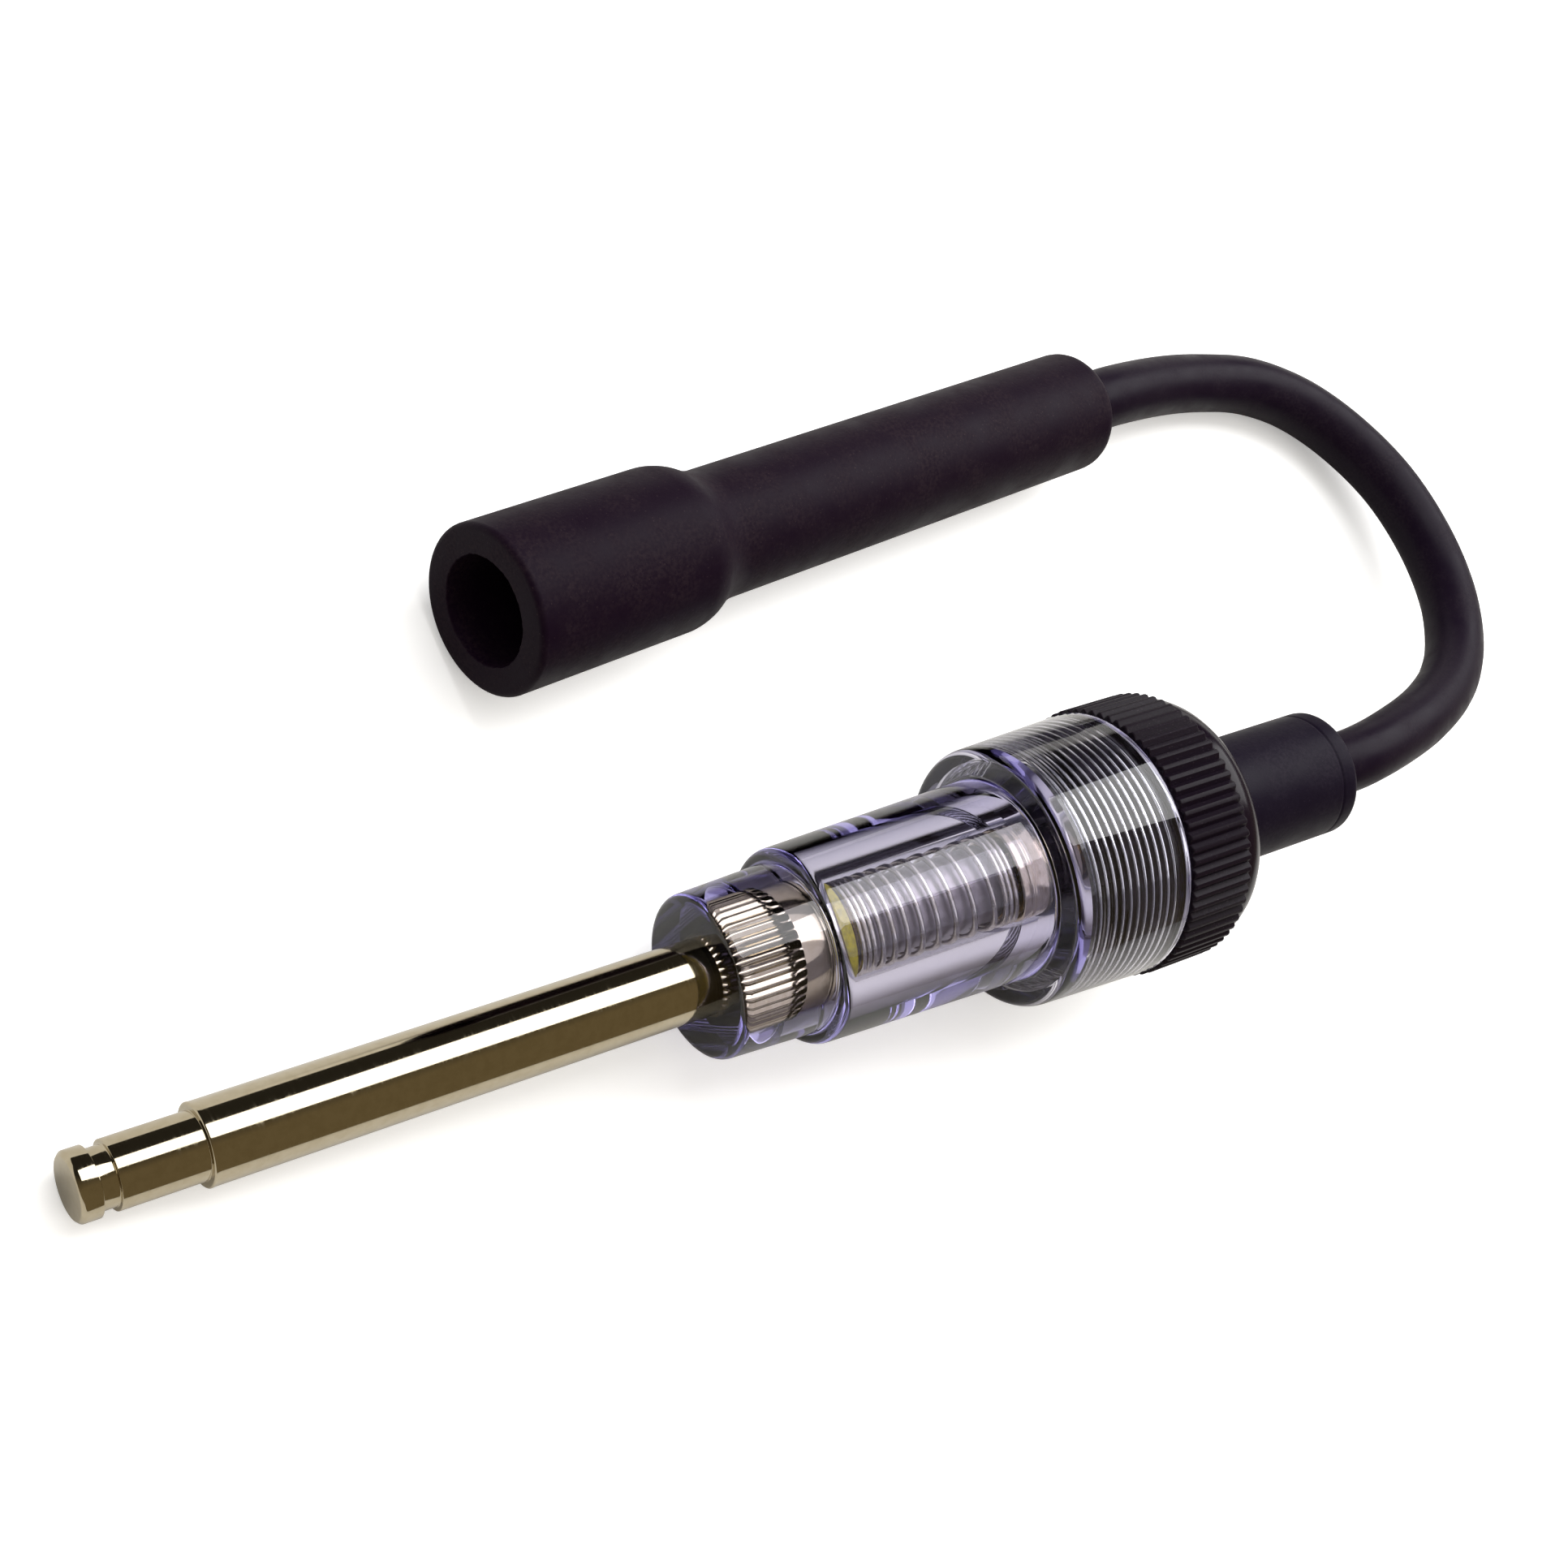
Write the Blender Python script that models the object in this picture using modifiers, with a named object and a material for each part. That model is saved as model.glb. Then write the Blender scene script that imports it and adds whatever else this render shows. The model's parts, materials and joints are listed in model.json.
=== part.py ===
"""In-line ignition spark tester: a probe, a clear housing with a lamp, a screw cap, a lead and a plug boot.

The tester lies on the plane z = 0 on its probe tip and its cup, and the boot lies beside it.
Stations such as NOSE_FRONT are distances along the tester's axis from the probe's front face.
Depths such as COLLAR_LENGTH are distances along the boot's axis from its mouth.
Units are metres, +Z is up.
"""

import math

import bmesh
import bpy
from mathutils import Euler, Matrix, Vector

MM = 0.001
GAP = 0.3 * MM  # clearance that touching pieces keep
WELD = 0.01 * MM  # distance at which the ends of a turned profile are joined
CIRCLE_STEPS = 44  # faces round a large turned piece
SMALL_CIRCLE_STEPS = 28

# Probe: a turned rod whose rear shank is knurled and moulded into the housing
PROBE_TIP_R = 3.28 * MM
PROBE_GROOVE_R = 2.8 * MM
PROBE_NECK_R = 3.23 * MM
PROBE_ROD_R = 3.9 * MM
PROBE_KNURL_R = 4.15 * MM
PROBE_KNURLS = 32
PROBE_KNURL_DEPTH = 0.3 * MM
PROBE_BOSS_R = 2.2 * MM
TIP_CHAMFER = 0.35 * MM
TIP_END = 2.0 * MM
GROOVE_END = 3.6 * MM
NECK_END = 11.7 * MM
KNURL_START = 65.4 * MM
KNURL_END = 73.2 * MM
PROBE_END = 76.9 * MM

# Clear housing: a nose, a middle and a threaded cup, each tapered a little
NOSE_FRONT = 63.9 * MM
MIDDLE_FRONT = 74.8 * MM
CUP_FRONT = 101.1 * MM
CUP_REAR = 116.0 * MM
NOSE_R = (8.38 * MM, 8.8 * MM)
MIDDLE_R = (10.1 * MM, 10.84 * MM)
CUP_R = (13.95 * MM, 14.5 * MM)
EDGE_R = 0.9 * MM
SHANK_BORE_R = PROBE_KNURL_R + GAP
LAMP_BORE_R = 5.4 * MM
LAMP_BORE_START = 77.2 * MM
THREAD_BORE_R = 12.3 * MM
THREAD_BORE_START = 103.6 * MM

# Seat ring, spring and lamp, from front to rear
RING_THICKNESS = 1.2 * MM
RING_R = 5.1 * MM
SPRING_WIRE_R = 0.27 * MM
SPRING_R = 4.73 * MM
SPRING_LENGTH = 20.5 * MM
SPRING_CLOSED_TURNS = 3
SPRING_OPEN_TURNS = 8
SPRING_CLOSED_PITCH = 0.66 * MM
SPRING_EVEN_SHARE = 0.62  # the rest of the open length widens with the square of the turn
SPRING_POINTS_PER_TURN = 12
LAMP_R = 4.1 * MM
LAMP_WALL = 0.6 * MM
LAMP_LENGTH = 17.9 * MM
LAMP_CAP_THICKNESS = 0.8 * MM
LAMP_PLUG_LENGTH = 1.5 * MM
LAMP_NIPPLE_R = 1.5 * MM
LAMP_NIPPLE_LENGTH = 2.8 * MM
ELECTRODE_R = 0.5 * MM
ELECTRODE_LENGTH = 8.6 * MM
ELECTRODE_OFFSET = 1.3 * MM
ELECTRODE_STEPS = 12

# Terminal cup and the screw that ties it to the lead's conductor
TERMINAL_FRONT = 99.9 * MM
TERMINAL_LENGTH = 5.0 * MM
TERMINAL_FLOOR = 1.2 * MM
TERMINAL_R = 5.05 * MM
TERMINAL_BORE_R = 4.42 * MM
SCREW_HEAD_R = 2.2 * MM
SCREW_HEAD_THICKNESS = 1.0 * MM
SCREW_SHANK_R = 1.0 * MM
SCREW_END = 118.0 * MM

# Screw cap: a threaded spigot, a ribbed band and a domed rear
SPIGOT_FRONT = 109.2 * MM
SPIGOT_R = 11.9 * MM
CAP_BORE_R = 9.3 * MM
RIB_FRONT = CUP_REAR + GAP
RIB_REAR = 124.3 * MM
RIB_COUNT = 70
RIB_R = 14.8 * MM
RIB_DEPTH = 0.5 * MM
DOME_R = 14.1 * MM
DOME_FLAT_R = 9.6 * MM
DOME_ANGLES = (90, 60, 30, 0)  # degrees, from the flat rear down to the ribs
CAP_REAR = 128.6 * MM
CAP_FLOOR = 125.0 * MM

# Strain relief sleeve
SLEEVE_FRONT = 110.3 * MM
SLEEVE_END = 148.8 * MM
SLEEVE_R = 7.05 * MM
SLEEVE_FLANGE_R = 8.9 * MM
SLEEVE_FLANGE_LENGTH = 2.8 * MM
SLEEVE_EDGE_R = 1.1 * MM

# Ignition lead: insulation over a conductor
LEAD_R = 3.6 * MM
LEAD_BORE_R = 1.3 * MM
CONDUCTOR_R = 0.9 * MM
CONDUCTOR_STEPS = 16
LEAD_START = 105.2 * MM

# Plug boot and the push-on terminal inside it
BOOT_LENGTH = 89.5 * MM
BOOT_YAW = math.radians(6.1)
BOOT_MOUTH_XY = (-20.2 * MM, 39.7 * MM)
COLLAR_R = 8.75 * MM
COLLAR_LENGTH = 24.3 * MM
COLLAR_TAPER = 3.8 * MM
MOUTH_CHAMFER = 0.5 * MM
STEM_R = 6.9 * MM
STEM_EDGE_R = 2.2 * MM
BOOT_BORE_R = 5.65 * MM
BOOT_BORE_LENGTH = 50.0 * MM
CLIP_TERMINAL_R = 4.6 * MM
CLIP_SOCKET_R = 3.4 * MM
CLIP_TERMINAL_START = 20.0 * MM
CLIP_SOCKET_LENGTH = 11.0 * MM
CLIP_WEB = 1.5 * MM
CLIP_TERMINAL_LENGTH = 28.0 * MM
CLIP_GROOVE_START = 23.2 * MM
CLIP_GROOVE_WIDTH = 1.4 * MM
CLIP_GROOVE_DEPTH = 0.5 * MM
SNAP_WIRE_R = 0.35 * MM
SNAP_OPENING = math.radians(50)
SNAP_STEPS = 24

# The free lead's own route between the two straight runs at its ends, in millimetres
LEAD_STRAIGHT = 7.0 * MM
LEAD_ROUTE = (
    (89.6, 1.0, 18.8),
    (98.2, 2.6, 17.3),
    (106.5, 5.3, 15.2),
    (113.5, 9.7, 12.7),
    (118.6, 16.0, 10.2),
    (121.1, 23.8, 7.8),
    (120.5, 32.0, 5.9),
    (116.8, 39.3, 4.5),
    (110.8, 45.1, 3.8),
    (103.1, 48.7, 3.7),
    (94.7, 50.2, 3.8),
    (86.0, 50.5, 4.9),
)
LEAD_SAMPLES = 2  # points read from the smooth curve along each stretch of the route

# Rest pose of the tester: it touches the plane at the tip's chamfer and at the cup's front edge
TESTER_TILT = math.atan2(CUP_R[0] - PROBE_TIP_R, CUP_FRONT + EDGE_R - TIP_CHAMFER)
TIP_HEIGHT = PROBE_TIP_R * math.cos(TESTER_TILT) - TIP_CHAMFER * math.sin(TESTER_TILT)
TESTER_DIRECTION = Vector((math.cos(TESTER_TILT), 0, math.sin(TESTER_TILT)))
FRONT_X = -PROBE_TIP_R * math.sin(TESTER_TILT)
REAR_X = SLEEVE_END * math.cos(TESTER_TILT) + (SLEEVE_R - SLEEVE_EDGE_R) * math.sin(TESTER_TILT)
TESTER_ORIGIN = Vector((-(FRONT_X + REAR_X) / 2, 0, TIP_HEIGHT))

# Rest pose of the boot: it touches the plane at the collar's rear edge and at the stem's rear
BOOT_TILT = math.atan2(COLLAR_R - STEM_R, BOOT_LENGTH - STEM_EDGE_R - COLLAR_LENGTH)
BOOT_DIRECTION = Vector(
    (
        math.cos(BOOT_TILT) * math.cos(BOOT_YAW),
        math.cos(BOOT_TILT) * math.sin(BOOT_YAW),
        -math.sin(BOOT_TILT),
    )
)
BOOT_MOUTH_HEIGHT = COLLAR_R * math.cos(BOOT_TILT) + COLLAR_LENGTH * math.sin(BOOT_TILT)
BOOT_ORIGIN = Vector((*BOOT_MOUTH_XY, BOOT_MOUTH_HEIGHT))

COLOURS = {
    "nickel": ((0.72, 0.66, 0.55), 0.16, 1.0),
    "steel": ((0.62, 0.61, 0.59), 0.25, 1.0),
    "brass": ((0.70, 0.55, 0.28), 0.25, 1.0),
    "clear_plastic": ((0.80, 0.82, 0.95), 0.05, 0.0),
    "yellow_fibre": ((0.62, 0.52, 0.08), 0.55, 0.0),
    "lamp_glass": ((0.55, 0.53, 0.52), 0.25, 0.0),
    "black_plastic": ((0.02, 0.018, 0.022), 0.35, 0.0),
    "black_rubber": ((0.025, 0.018, 0.025), 0.6, 0.0),
    "copper": ((0.72, 0.38, 0.22), 0.3, 1.0),
}


def clear_scene():
    """Remove every object of the starting scene."""
    for obj in list(bpy.data.objects):
        bpy.data.objects.remove(obj, do_unlink=True)


def new_collection(name):
    """Make a collection in the scene and return it."""
    collection = bpy.data.collections.new(name)
    bpy.context.scene.collection.children.link(collection)
    return collection


def material(piece, kind):
    """Give a piece a Principled material of its own, of one of the kinds in COLOURS."""
    colour, roughness, metallic = COLOURS[kind]
    made = bpy.data.materials.new(f"{piece.name}_{kind}")
    made.use_nodes = True
    shader = made.node_tree.nodes["Principled BSDF"]
    shader.inputs["Base Color"].default_value = (*colour, 1)
    shader.inputs["Roughness"].default_value = roughness
    shader.inputs["Metallic"].default_value = metallic
    piece.data.materials.append(made)


def axis_empty(name, origin, direction, collection):
    """Make an empty at origin whose Z axis points along direction, with its Y axis level."""
    empty = bpy.data.objects.new(name, None)
    yaw = math.atan2(direction.y, direction.x)
    fall = math.acos(max(-1.0, min(1.0, direction.z)))
    turn = Euler((0, fall, yaw)).to_matrix().to_4x4()
    empty.matrix_world = Matrix.Translation(origin) @ turn
    empty.empty_display_size = 0.01
    collection.objects.link(empty)
    return empty


def arc(middle, radius, start, end, steps):
    """Points on an arc in the (radius, station) plane, from angle start to angle end in degrees."""
    angles = [math.radians(start + (end - start) * i / steps) for i in range(steps + 1)]
    return [(middle[0] + radius * math.cos(a), middle[1] + radius * math.sin(a)) for a in angles]


def turned(name, profile, kind, parent, collection, steps=CIRCLE_STEPS, loop=True):
    """Turn a profile of (radius, station) points about the parent's Z axis.

    The profile starts at the rear, runs down the outer side to the front and, when it is a loop,
    comes back up the inner side. A profile that isn't a loop starts and ends on the axis.
    """
    mesh = bpy.data.meshes.new(name)
    points = [(radius, 0, station) for radius, station in profile]
    edges = [(i, i + 1) for i in range(len(points) - 1)]
    if loop:
        edges.append((len(points) - 1, 0))
    mesh.from_pydata(points, edges, [])
    piece = bpy.data.objects.new(name, mesh)
    collection.objects.link(piece)
    piece.parent = parent
    screw = piece.modifiers.new("turn", "SCREW")
    screw.axis = "Z"
    screw.steps = screw.render_steps = steps
    screw.use_merge_vertices = True
    screw.merge_threshold = WELD
    screw.use_smooth_shade = True
    material(piece, kind)
    return piece


def baked(piece):
    """Replace a piece's modifiers by their result, so that its own mesh can be shaped further."""
    graph = bpy.context.evaluated_depsgraph_get()
    mesh = bpy.data.meshes.new_from_object(piece.evaluated_get(graph))
    piece.modifiers.clear()
    piece.data = mesh
    return piece


def ribbed(piece, columns, low, high, min_radius, depth):
    """Pull every second column of a turned band inwards, which leaves V-shaped ribs."""
    baked(piece)
    for vertex in piece.data.vertices:
        radius = math.hypot(vertex.co.x, vertex.co.y)
        column = round(math.atan2(vertex.co.y, vertex.co.x) / math.tau * columns)
        if low - WELD < vertex.co.z < high + WELD and radius > min_radius and column % 2:
            vertex.co.xy *= (radius - depth) / radius
    return piece


def probe_rod(axis, collection):
    """Turned and plated rod with a grooved tip, a knurled shank and a contact boss."""
    profile = [
        (0, PROBE_END + RING_THICKNESS + 2 * GAP),
        (PROBE_BOSS_R, PROBE_END + RING_THICKNESS + 2 * GAP),
        (PROBE_BOSS_R, PROBE_END),
        (PROBE_ROD_R, PROBE_END),
        (PROBE_ROD_R, KNURL_END + GAP),
        (PROBE_KNURL_R, KNURL_END),
        (PROBE_KNURL_R, KNURL_START),
        (PROBE_ROD_R, KNURL_START - GAP),
        (PROBE_ROD_R, NECK_END),
        (PROBE_NECK_R, NECK_END),
        (PROBE_NECK_R, GROOVE_END),
        (PROBE_GROOVE_R, GROOVE_END),
        (PROBE_GROOVE_R, TIP_END),
        (PROBE_TIP_R, TIP_END),
        (PROBE_TIP_R, TIP_CHAMFER),
        (PROBE_TIP_R - TIP_CHAMFER, 0),
        (0, 0),
    ]
    columns = 2 * PROBE_KNURLS
    rod = turned("probe_rod", profile, "nickel", axis, collection, columns, loop=False)
    between = (PROBE_ROD_R + PROBE_KNURL_R) / 2
    return ribbed(rod, columns, KNURL_START, KNURL_END, between, PROBE_KNURL_DEPTH)


def clear_barrel(axis, collection):
    """Clear housing: the nose holds the probe's shank, the middle the lamp and the cup the cap."""
    nose_edge = arc((NOSE_R[0] - EDGE_R, NOSE_FRONT + EDGE_R), EDGE_R, 0, -90, 2)
    middle_edge = arc((MIDDLE_R[0] - EDGE_R, MIDDLE_FRONT + EDGE_R), EDGE_R, 0, -90, 2)
    cup_edge = arc((CUP_R[0] - EDGE_R, CUP_FRONT + EDGE_R), EDGE_R, 0, -90, 2)
    profile = [
        (CUP_R[1], CUP_REAR),
        *cup_edge,
        (MIDDLE_R[1], CUP_FRONT),
        *middle_edge,
        (NOSE_R[1], MIDDLE_FRONT),
        *nose_edge,
        (SHANK_BORE_R, NOSE_FRONT),
        (SHANK_BORE_R, LAMP_BORE_START),
        (LAMP_BORE_R, LAMP_BORE_START),
        (LAMP_BORE_R, THREAD_BORE_START),
        (THREAD_BORE_R, THREAD_BORE_START),
        (THREAD_BORE_R, CUP_REAR),
    ]
    return turned("clear_barrel", profile, "clear_plastic", axis, collection)


def seat_ring(axis, collection):
    """Insulating ring that keeps the spring off the probe's end."""
    front = LAMP_BORE_START + GAP
    bore = PROBE_BOSS_R + GAP
    rear = front + RING_THICKNESS
    profile = [(RING_R, rear), (RING_R, front), (bore, front), (bore, rear)]
    return turned("insulating_ring", profile, "yellow_fibre", axis, collection, SMALL_CIRCLE_STEPS)


def contact_spring(axis, collection):
    """Compression spring with closed ends, whose open turns widen towards the rear."""
    front = LAMP_BORE_START + RING_THICKNESS + 2 * GAP + SPRING_WIRE_R
    closed = SPRING_CLOSED_TURNS * SPRING_CLOSED_PITCH
    open_length = SPRING_LENGTH - 2 * SPRING_WIRE_R - 2 * closed
    turns = SPRING_OPEN_TURNS + 2 * SPRING_CLOSED_TURNS
    curve = bpy.data.curves.new("contact_spring", "CURVE")
    curve.dimensions = "3D"
    curve.bevel_depth = SPRING_WIRE_R
    curve.bevel_resolution = 2
    curve.use_fill_caps = True
    spline = curve.splines.new("POLY")
    spline.points.add(turns * SPRING_POINTS_PER_TURN)
    for i, point in enumerate(spline.points):
        turn = i / SPRING_POINTS_PER_TURN
        opened = min(max((turn - SPRING_CLOSED_TURNS) / SPRING_OPEN_TURNS, 0), 1)
        wound = min(turn, SPRING_CLOSED_TURNS) + max(turn - turns + SPRING_CLOSED_TURNS, 0)
        share = SPRING_EVEN_SHARE * opened + (1 - SPRING_EVEN_SHARE) * opened**2
        rise = wound * SPRING_CLOSED_PITCH + open_length * share
        angle = math.tau * turn
        point.co = (SPRING_R * math.cos(angle), SPRING_R * math.sin(angle), front + rise, 1)
    spring = bpy.data.objects.new("contact_spring", curve)
    collection.objects.link(spring)
    spring.parent = axis
    material(spring, "steel")
    return spring


def lamp(axis, collection):
    """Tubular neon lamp: a glass tube, two end caps that plug it, and two electrodes."""
    front = PROBE_END + RING_THICKNESS + 3 * GAP
    glass_front = front + LAMP_CAP_THICKNESS + GAP
    glass_rear = glass_front + LAMP_LENGTH
    bore = LAMP_R - LAMP_WALL
    plug = bore - GAP
    glass = [(LAMP_R, glass_rear), (LAMP_R, glass_front), (bore, glass_front), (bore, glass_rear)]
    turned("lamp_glass", glass, "lamp_glass", axis, collection, SMALL_CIRCLE_STEPS)
    front_plug = glass_front + LAMP_PLUG_LENGTH
    front_cap = [
        (0, front_plug),
        (plug, front_plug),
        (plug, glass_front - GAP),
        (LAMP_R, glass_front - GAP),
        (LAMP_R, front),
        (0, front),
    ]
    turned("lamp_cap_front", front_cap, "brass", axis, collection, SMALL_CIRCLE_STEPS, loop=False)
    rear = glass_rear + GAP + LAMP_CAP_THICKNESS
    rear_plug = glass_rear - LAMP_PLUG_LENGTH
    rear_cap = [
        (0, rear + LAMP_NIPPLE_LENGTH),
        (LAMP_NIPPLE_R, rear + LAMP_NIPPLE_LENGTH),
        (LAMP_NIPPLE_R, rear),
        (LAMP_R, rear),
        (LAMP_R, glass_rear + GAP),
        (plug, glass_rear + GAP),
        (plug, rear_plug),
        (0, rear_plug),
    ]
    turned("lamp_cap_rear", rear_cap, "brass", axis, collection, SMALL_CIRCLE_STEPS, loop=False)
    electrode("lamp_electrode_front", front_plug + GAP, ELECTRODE_OFFSET, axis, collection)
    rear_start = rear_plug - GAP - ELECTRODE_LENGTH
    electrode("lamp_electrode_rear", rear_start, -ELECTRODE_OFFSET, axis, collection)


def electrode(name, start, offset, axis, collection):
    """Straight wire electrode of the lamp, set off the axis so that the two pass each other."""
    mesh = bpy.data.meshes.new(name)
    shape = bmesh.new()
    bmesh.ops.create_cone(
        shape,
        cap_ends=True,
        segments=ELECTRODE_STEPS,
        radius1=ELECTRODE_R,
        radius2=ELECTRODE_R,
        depth=ELECTRODE_LENGTH,
    )
    shape.to_mesh(mesh)
    shape.free()
    piece = bpy.data.objects.new(name, mesh)
    collection.objects.link(piece)
    piece.parent = axis
    piece.location = (0, offset, start + ELECTRODE_LENGTH / 2)
    material(piece, "steel")


def terminal(axis, collection):
    """Cup that seats the spring and takes the lamp's rear cap, and the screw through its floor."""
    rear = TERMINAL_FRONT + TERMINAL_LENGTH
    floor = rear - TERMINAL_FLOOR
    hole = SCREW_SHANK_R + GAP
    cup = [
        (TERMINAL_R, rear),
        (TERMINAL_R, TERMINAL_FRONT),
        (TERMINAL_BORE_R, TERMINAL_FRONT),
        (TERMINAL_BORE_R, floor),
        (hole, floor),
        (hole, rear),
    ]
    turned("terminal_cup", cup, "nickel", axis, collection, SMALL_CIRCLE_STEPS)
    head_rear = floor - GAP
    screw = [
        (0, SCREW_END),
        (SCREW_SHANK_R, SCREW_END - 2 * SCREW_SHANK_R),
        (SCREW_SHANK_R, head_rear),
        (SCREW_HEAD_R, head_rear),
        (SCREW_HEAD_R, head_rear - SCREW_HEAD_THICKNESS),
        (0, head_rear - SCREW_HEAD_THICKNESS),
    ]
    turned("terminal_screw", screw, "brass", axis, collection, SMALL_CIRCLE_STEPS, loop=False)


def screw_cap(axis, collection):
    """Cap with a threaded spigot in front, a ribbed band and a domed rear with the sleeve's hole."""
    dome = [
        (
            DOME_FLAT_R + (DOME_R - DOME_FLAT_R) * math.cos(math.radians(angle)),
            RIB_REAR + (CAP_REAR - RIB_REAR) * math.sin(math.radians(angle)),
        )
        for angle in DOME_ANGLES
    ]
    hole = SLEEVE_R + GAP
    profile = [
        (hole, CAP_REAR),
        *dome,
        (RIB_R, RIB_REAR),
        (RIB_R, RIB_FRONT),
        (SPIGOT_R, RIB_FRONT),
        (SPIGOT_R, SPIGOT_FRONT),
        (CAP_BORE_R, SPIGOT_FRONT),
        (CAP_BORE_R, CAP_FLOOR),
        (hole, CAP_FLOOR),
    ]
    columns = 2 * RIB_COUNT
    cap = turned("screw_cap", profile, "black_plastic", axis, collection, columns)
    return ribbed(cap, columns, RIB_FRONT, RIB_REAR, (DOME_R + RIB_R) / 2, RIB_DEPTH)


def strain_relief_sleeve(axis, collection):
    """Rubber sleeve with a flange that the cap pulls forward, and a rounded rear end."""
    flange_rear = CAP_FLOOR - GAP
    bore = LEAD_R + GAP
    edge = arc((SLEEVE_R - SLEEVE_EDGE_R, SLEEVE_END - SLEEVE_EDGE_R), SLEEVE_EDGE_R, 90, 0, 2)
    profile = [
        *edge,
        (SLEEVE_R, flange_rear),
        (SLEEVE_FLANGE_R, flange_rear),
        (SLEEVE_FLANGE_R, flange_rear - SLEEVE_FLANGE_LENGTH),
        (SLEEVE_R, flange_rear - SLEEVE_FLANGE_LENGTH),
        (SLEEVE_R, SLEEVE_FRONT),
        (bore, SLEEVE_FRONT),
        (bore, SLEEVE_END),
    ]
    return turned("strain_relief_sleeve", profile, "black_rubber", axis, collection)


def held_lead(end, start, finish, axis, collection):
    """Straight end of the lead inside the sleeve or the boot: insulation and conductor."""
    tube = [(LEAD_R, finish), (LEAD_R, start), (LEAD_BORE_R, start), (LEAD_BORE_R, finish)]
    turned(f"lead_end_{end}", tube, "black_rubber", axis, collection, SMALL_CIRCLE_STEPS)


def conductor(end, start, finish, axis, collection):
    """Conductor inside a straight end of the lead."""
    profile = [(0, finish), (CONDUCTOR_R, finish), (CONDUCTOR_R, start), (0, start)]
    turned(f"lead_conductor_{end}", profile, "copper", axis, collection, CONDUCTOR_STEPS, False)


def catmull_rom(before, start, end, after, part):
    """Point on the smooth curve from start to end, part of the way along it."""
    square = part * part
    return 0.5 * (
        2 * start
        + (end - before) * part
        + (2 * before - 5 * start + 4 * end - after) * square
        + (3 * start - before - 3 * end + after) * square * part
    )


def lead_points():
    """The free lead's middle line, from the sleeve's end to the boot's rear."""
    start = TESTER_ORIGIN + TESTER_DIRECTION * SLEEVE_END
    end = BOOT_ORIGIN + BOOT_DIRECTION * BOOT_LENGTH
    route = [
        start - TESTER_DIRECTION * LEAD_STRAIGHT,
        start,
        start + TESTER_DIRECTION * LEAD_STRAIGHT,
        *(Vector(point) * MM for point in LEAD_ROUTE),
        end + BOOT_DIRECTION * LEAD_STRAIGHT,
        end,
        end - BOOT_DIRECTION * LEAD_STRAIGHT,
    ]
    points = [
        catmull_rom(*route[i : i + 4], step / LEAD_SAMPLES)
        for i in range(len(route) - 3)
        for step in range(LEAD_SAMPLES)
    ]
    return [*points, end]


def ht_lead(collection):
    """Free stretch of the lead, which comes down from the sleeve and lies round to the boot."""
    points = lead_points()
    curve = bpy.data.curves.new("ht_lead", "CURVE")
    curve.dimensions = "3D"
    curve.bevel_depth = LEAD_R
    curve.bevel_resolution = 4
    curve.use_fill_caps = True
    spline = curve.splines.new("POLY")
    spline.points.add(len(points) - 1)
    for spot, point in zip(spline.points, points):
        spot.co = (*point, 1)
    lead = bpy.data.objects.new("ht_lead", curve)
    collection.objects.link(lead)
    material(lead, "black_rubber")
    return lead


def plug_boot(axis, collection):
    """Rubber boot: a wide collar over the plug, a long stem over the lead."""
    lead_bore = LEAD_R + GAP
    stem_edge = arc((STEM_R - STEM_EDGE_R, BOOT_LENGTH - STEM_EDGE_R), STEM_EDGE_R, 90, 0, 3)
    profile = [
        *stem_edge,
        (STEM_R, COLLAR_LENGTH + COLLAR_TAPER),
        (COLLAR_R, COLLAR_LENGTH),
        (COLLAR_R, MOUTH_CHAMFER),
        (COLLAR_R - MOUTH_CHAMFER, 0),
        (BOOT_BORE_R, 0),
        (BOOT_BORE_R, COLLAR_LENGTH),
        (CLIP_TERMINAL_R + GAP, COLLAR_LENGTH + COLLAR_TAPER),
        (CLIP_TERMINAL_R + GAP, BOOT_BORE_LENGTH),
        (lead_bore, BOOT_BORE_LENGTH),
        (lead_bore, BOOT_LENGTH),
    ]
    return turned("plug_boot", profile, "black_rubber", axis, collection)


def boot_terminal(axis, collection):
    """Push-on terminal: a socket for the plug in front, a crimp barrel over the lead behind."""
    rear = CLIP_TERMINAL_START + CLIP_TERMINAL_LENGTH
    socket_end = CLIP_TERMINAL_START + CLIP_SOCKET_LENGTH
    groove_end = CLIP_GROOVE_START + CLIP_GROOVE_WIDTH
    groove_r = CLIP_TERMINAL_R - CLIP_GROOVE_DEPTH
    crimp_bore = LEAD_R + GAP
    profile = [
        (CLIP_TERMINAL_R, rear),
        (CLIP_TERMINAL_R, groove_end),
        (groove_r, groove_end),
        (groove_r, CLIP_GROOVE_START),
        (CLIP_TERMINAL_R, CLIP_GROOVE_START),
        (CLIP_TERMINAL_R, CLIP_TERMINAL_START),
        (CLIP_SOCKET_R, CLIP_TERMINAL_START),
        (CLIP_SOCKET_R, socket_end),
        (0, socket_end),
        (0, socket_end + CLIP_WEB),
        (crimp_bore, socket_end + CLIP_WEB),
        (crimp_bore, rear),
    ]
    return turned("boot_terminal", profile, "steel", axis, collection, SMALL_CIRCLE_STEPS)


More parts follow.
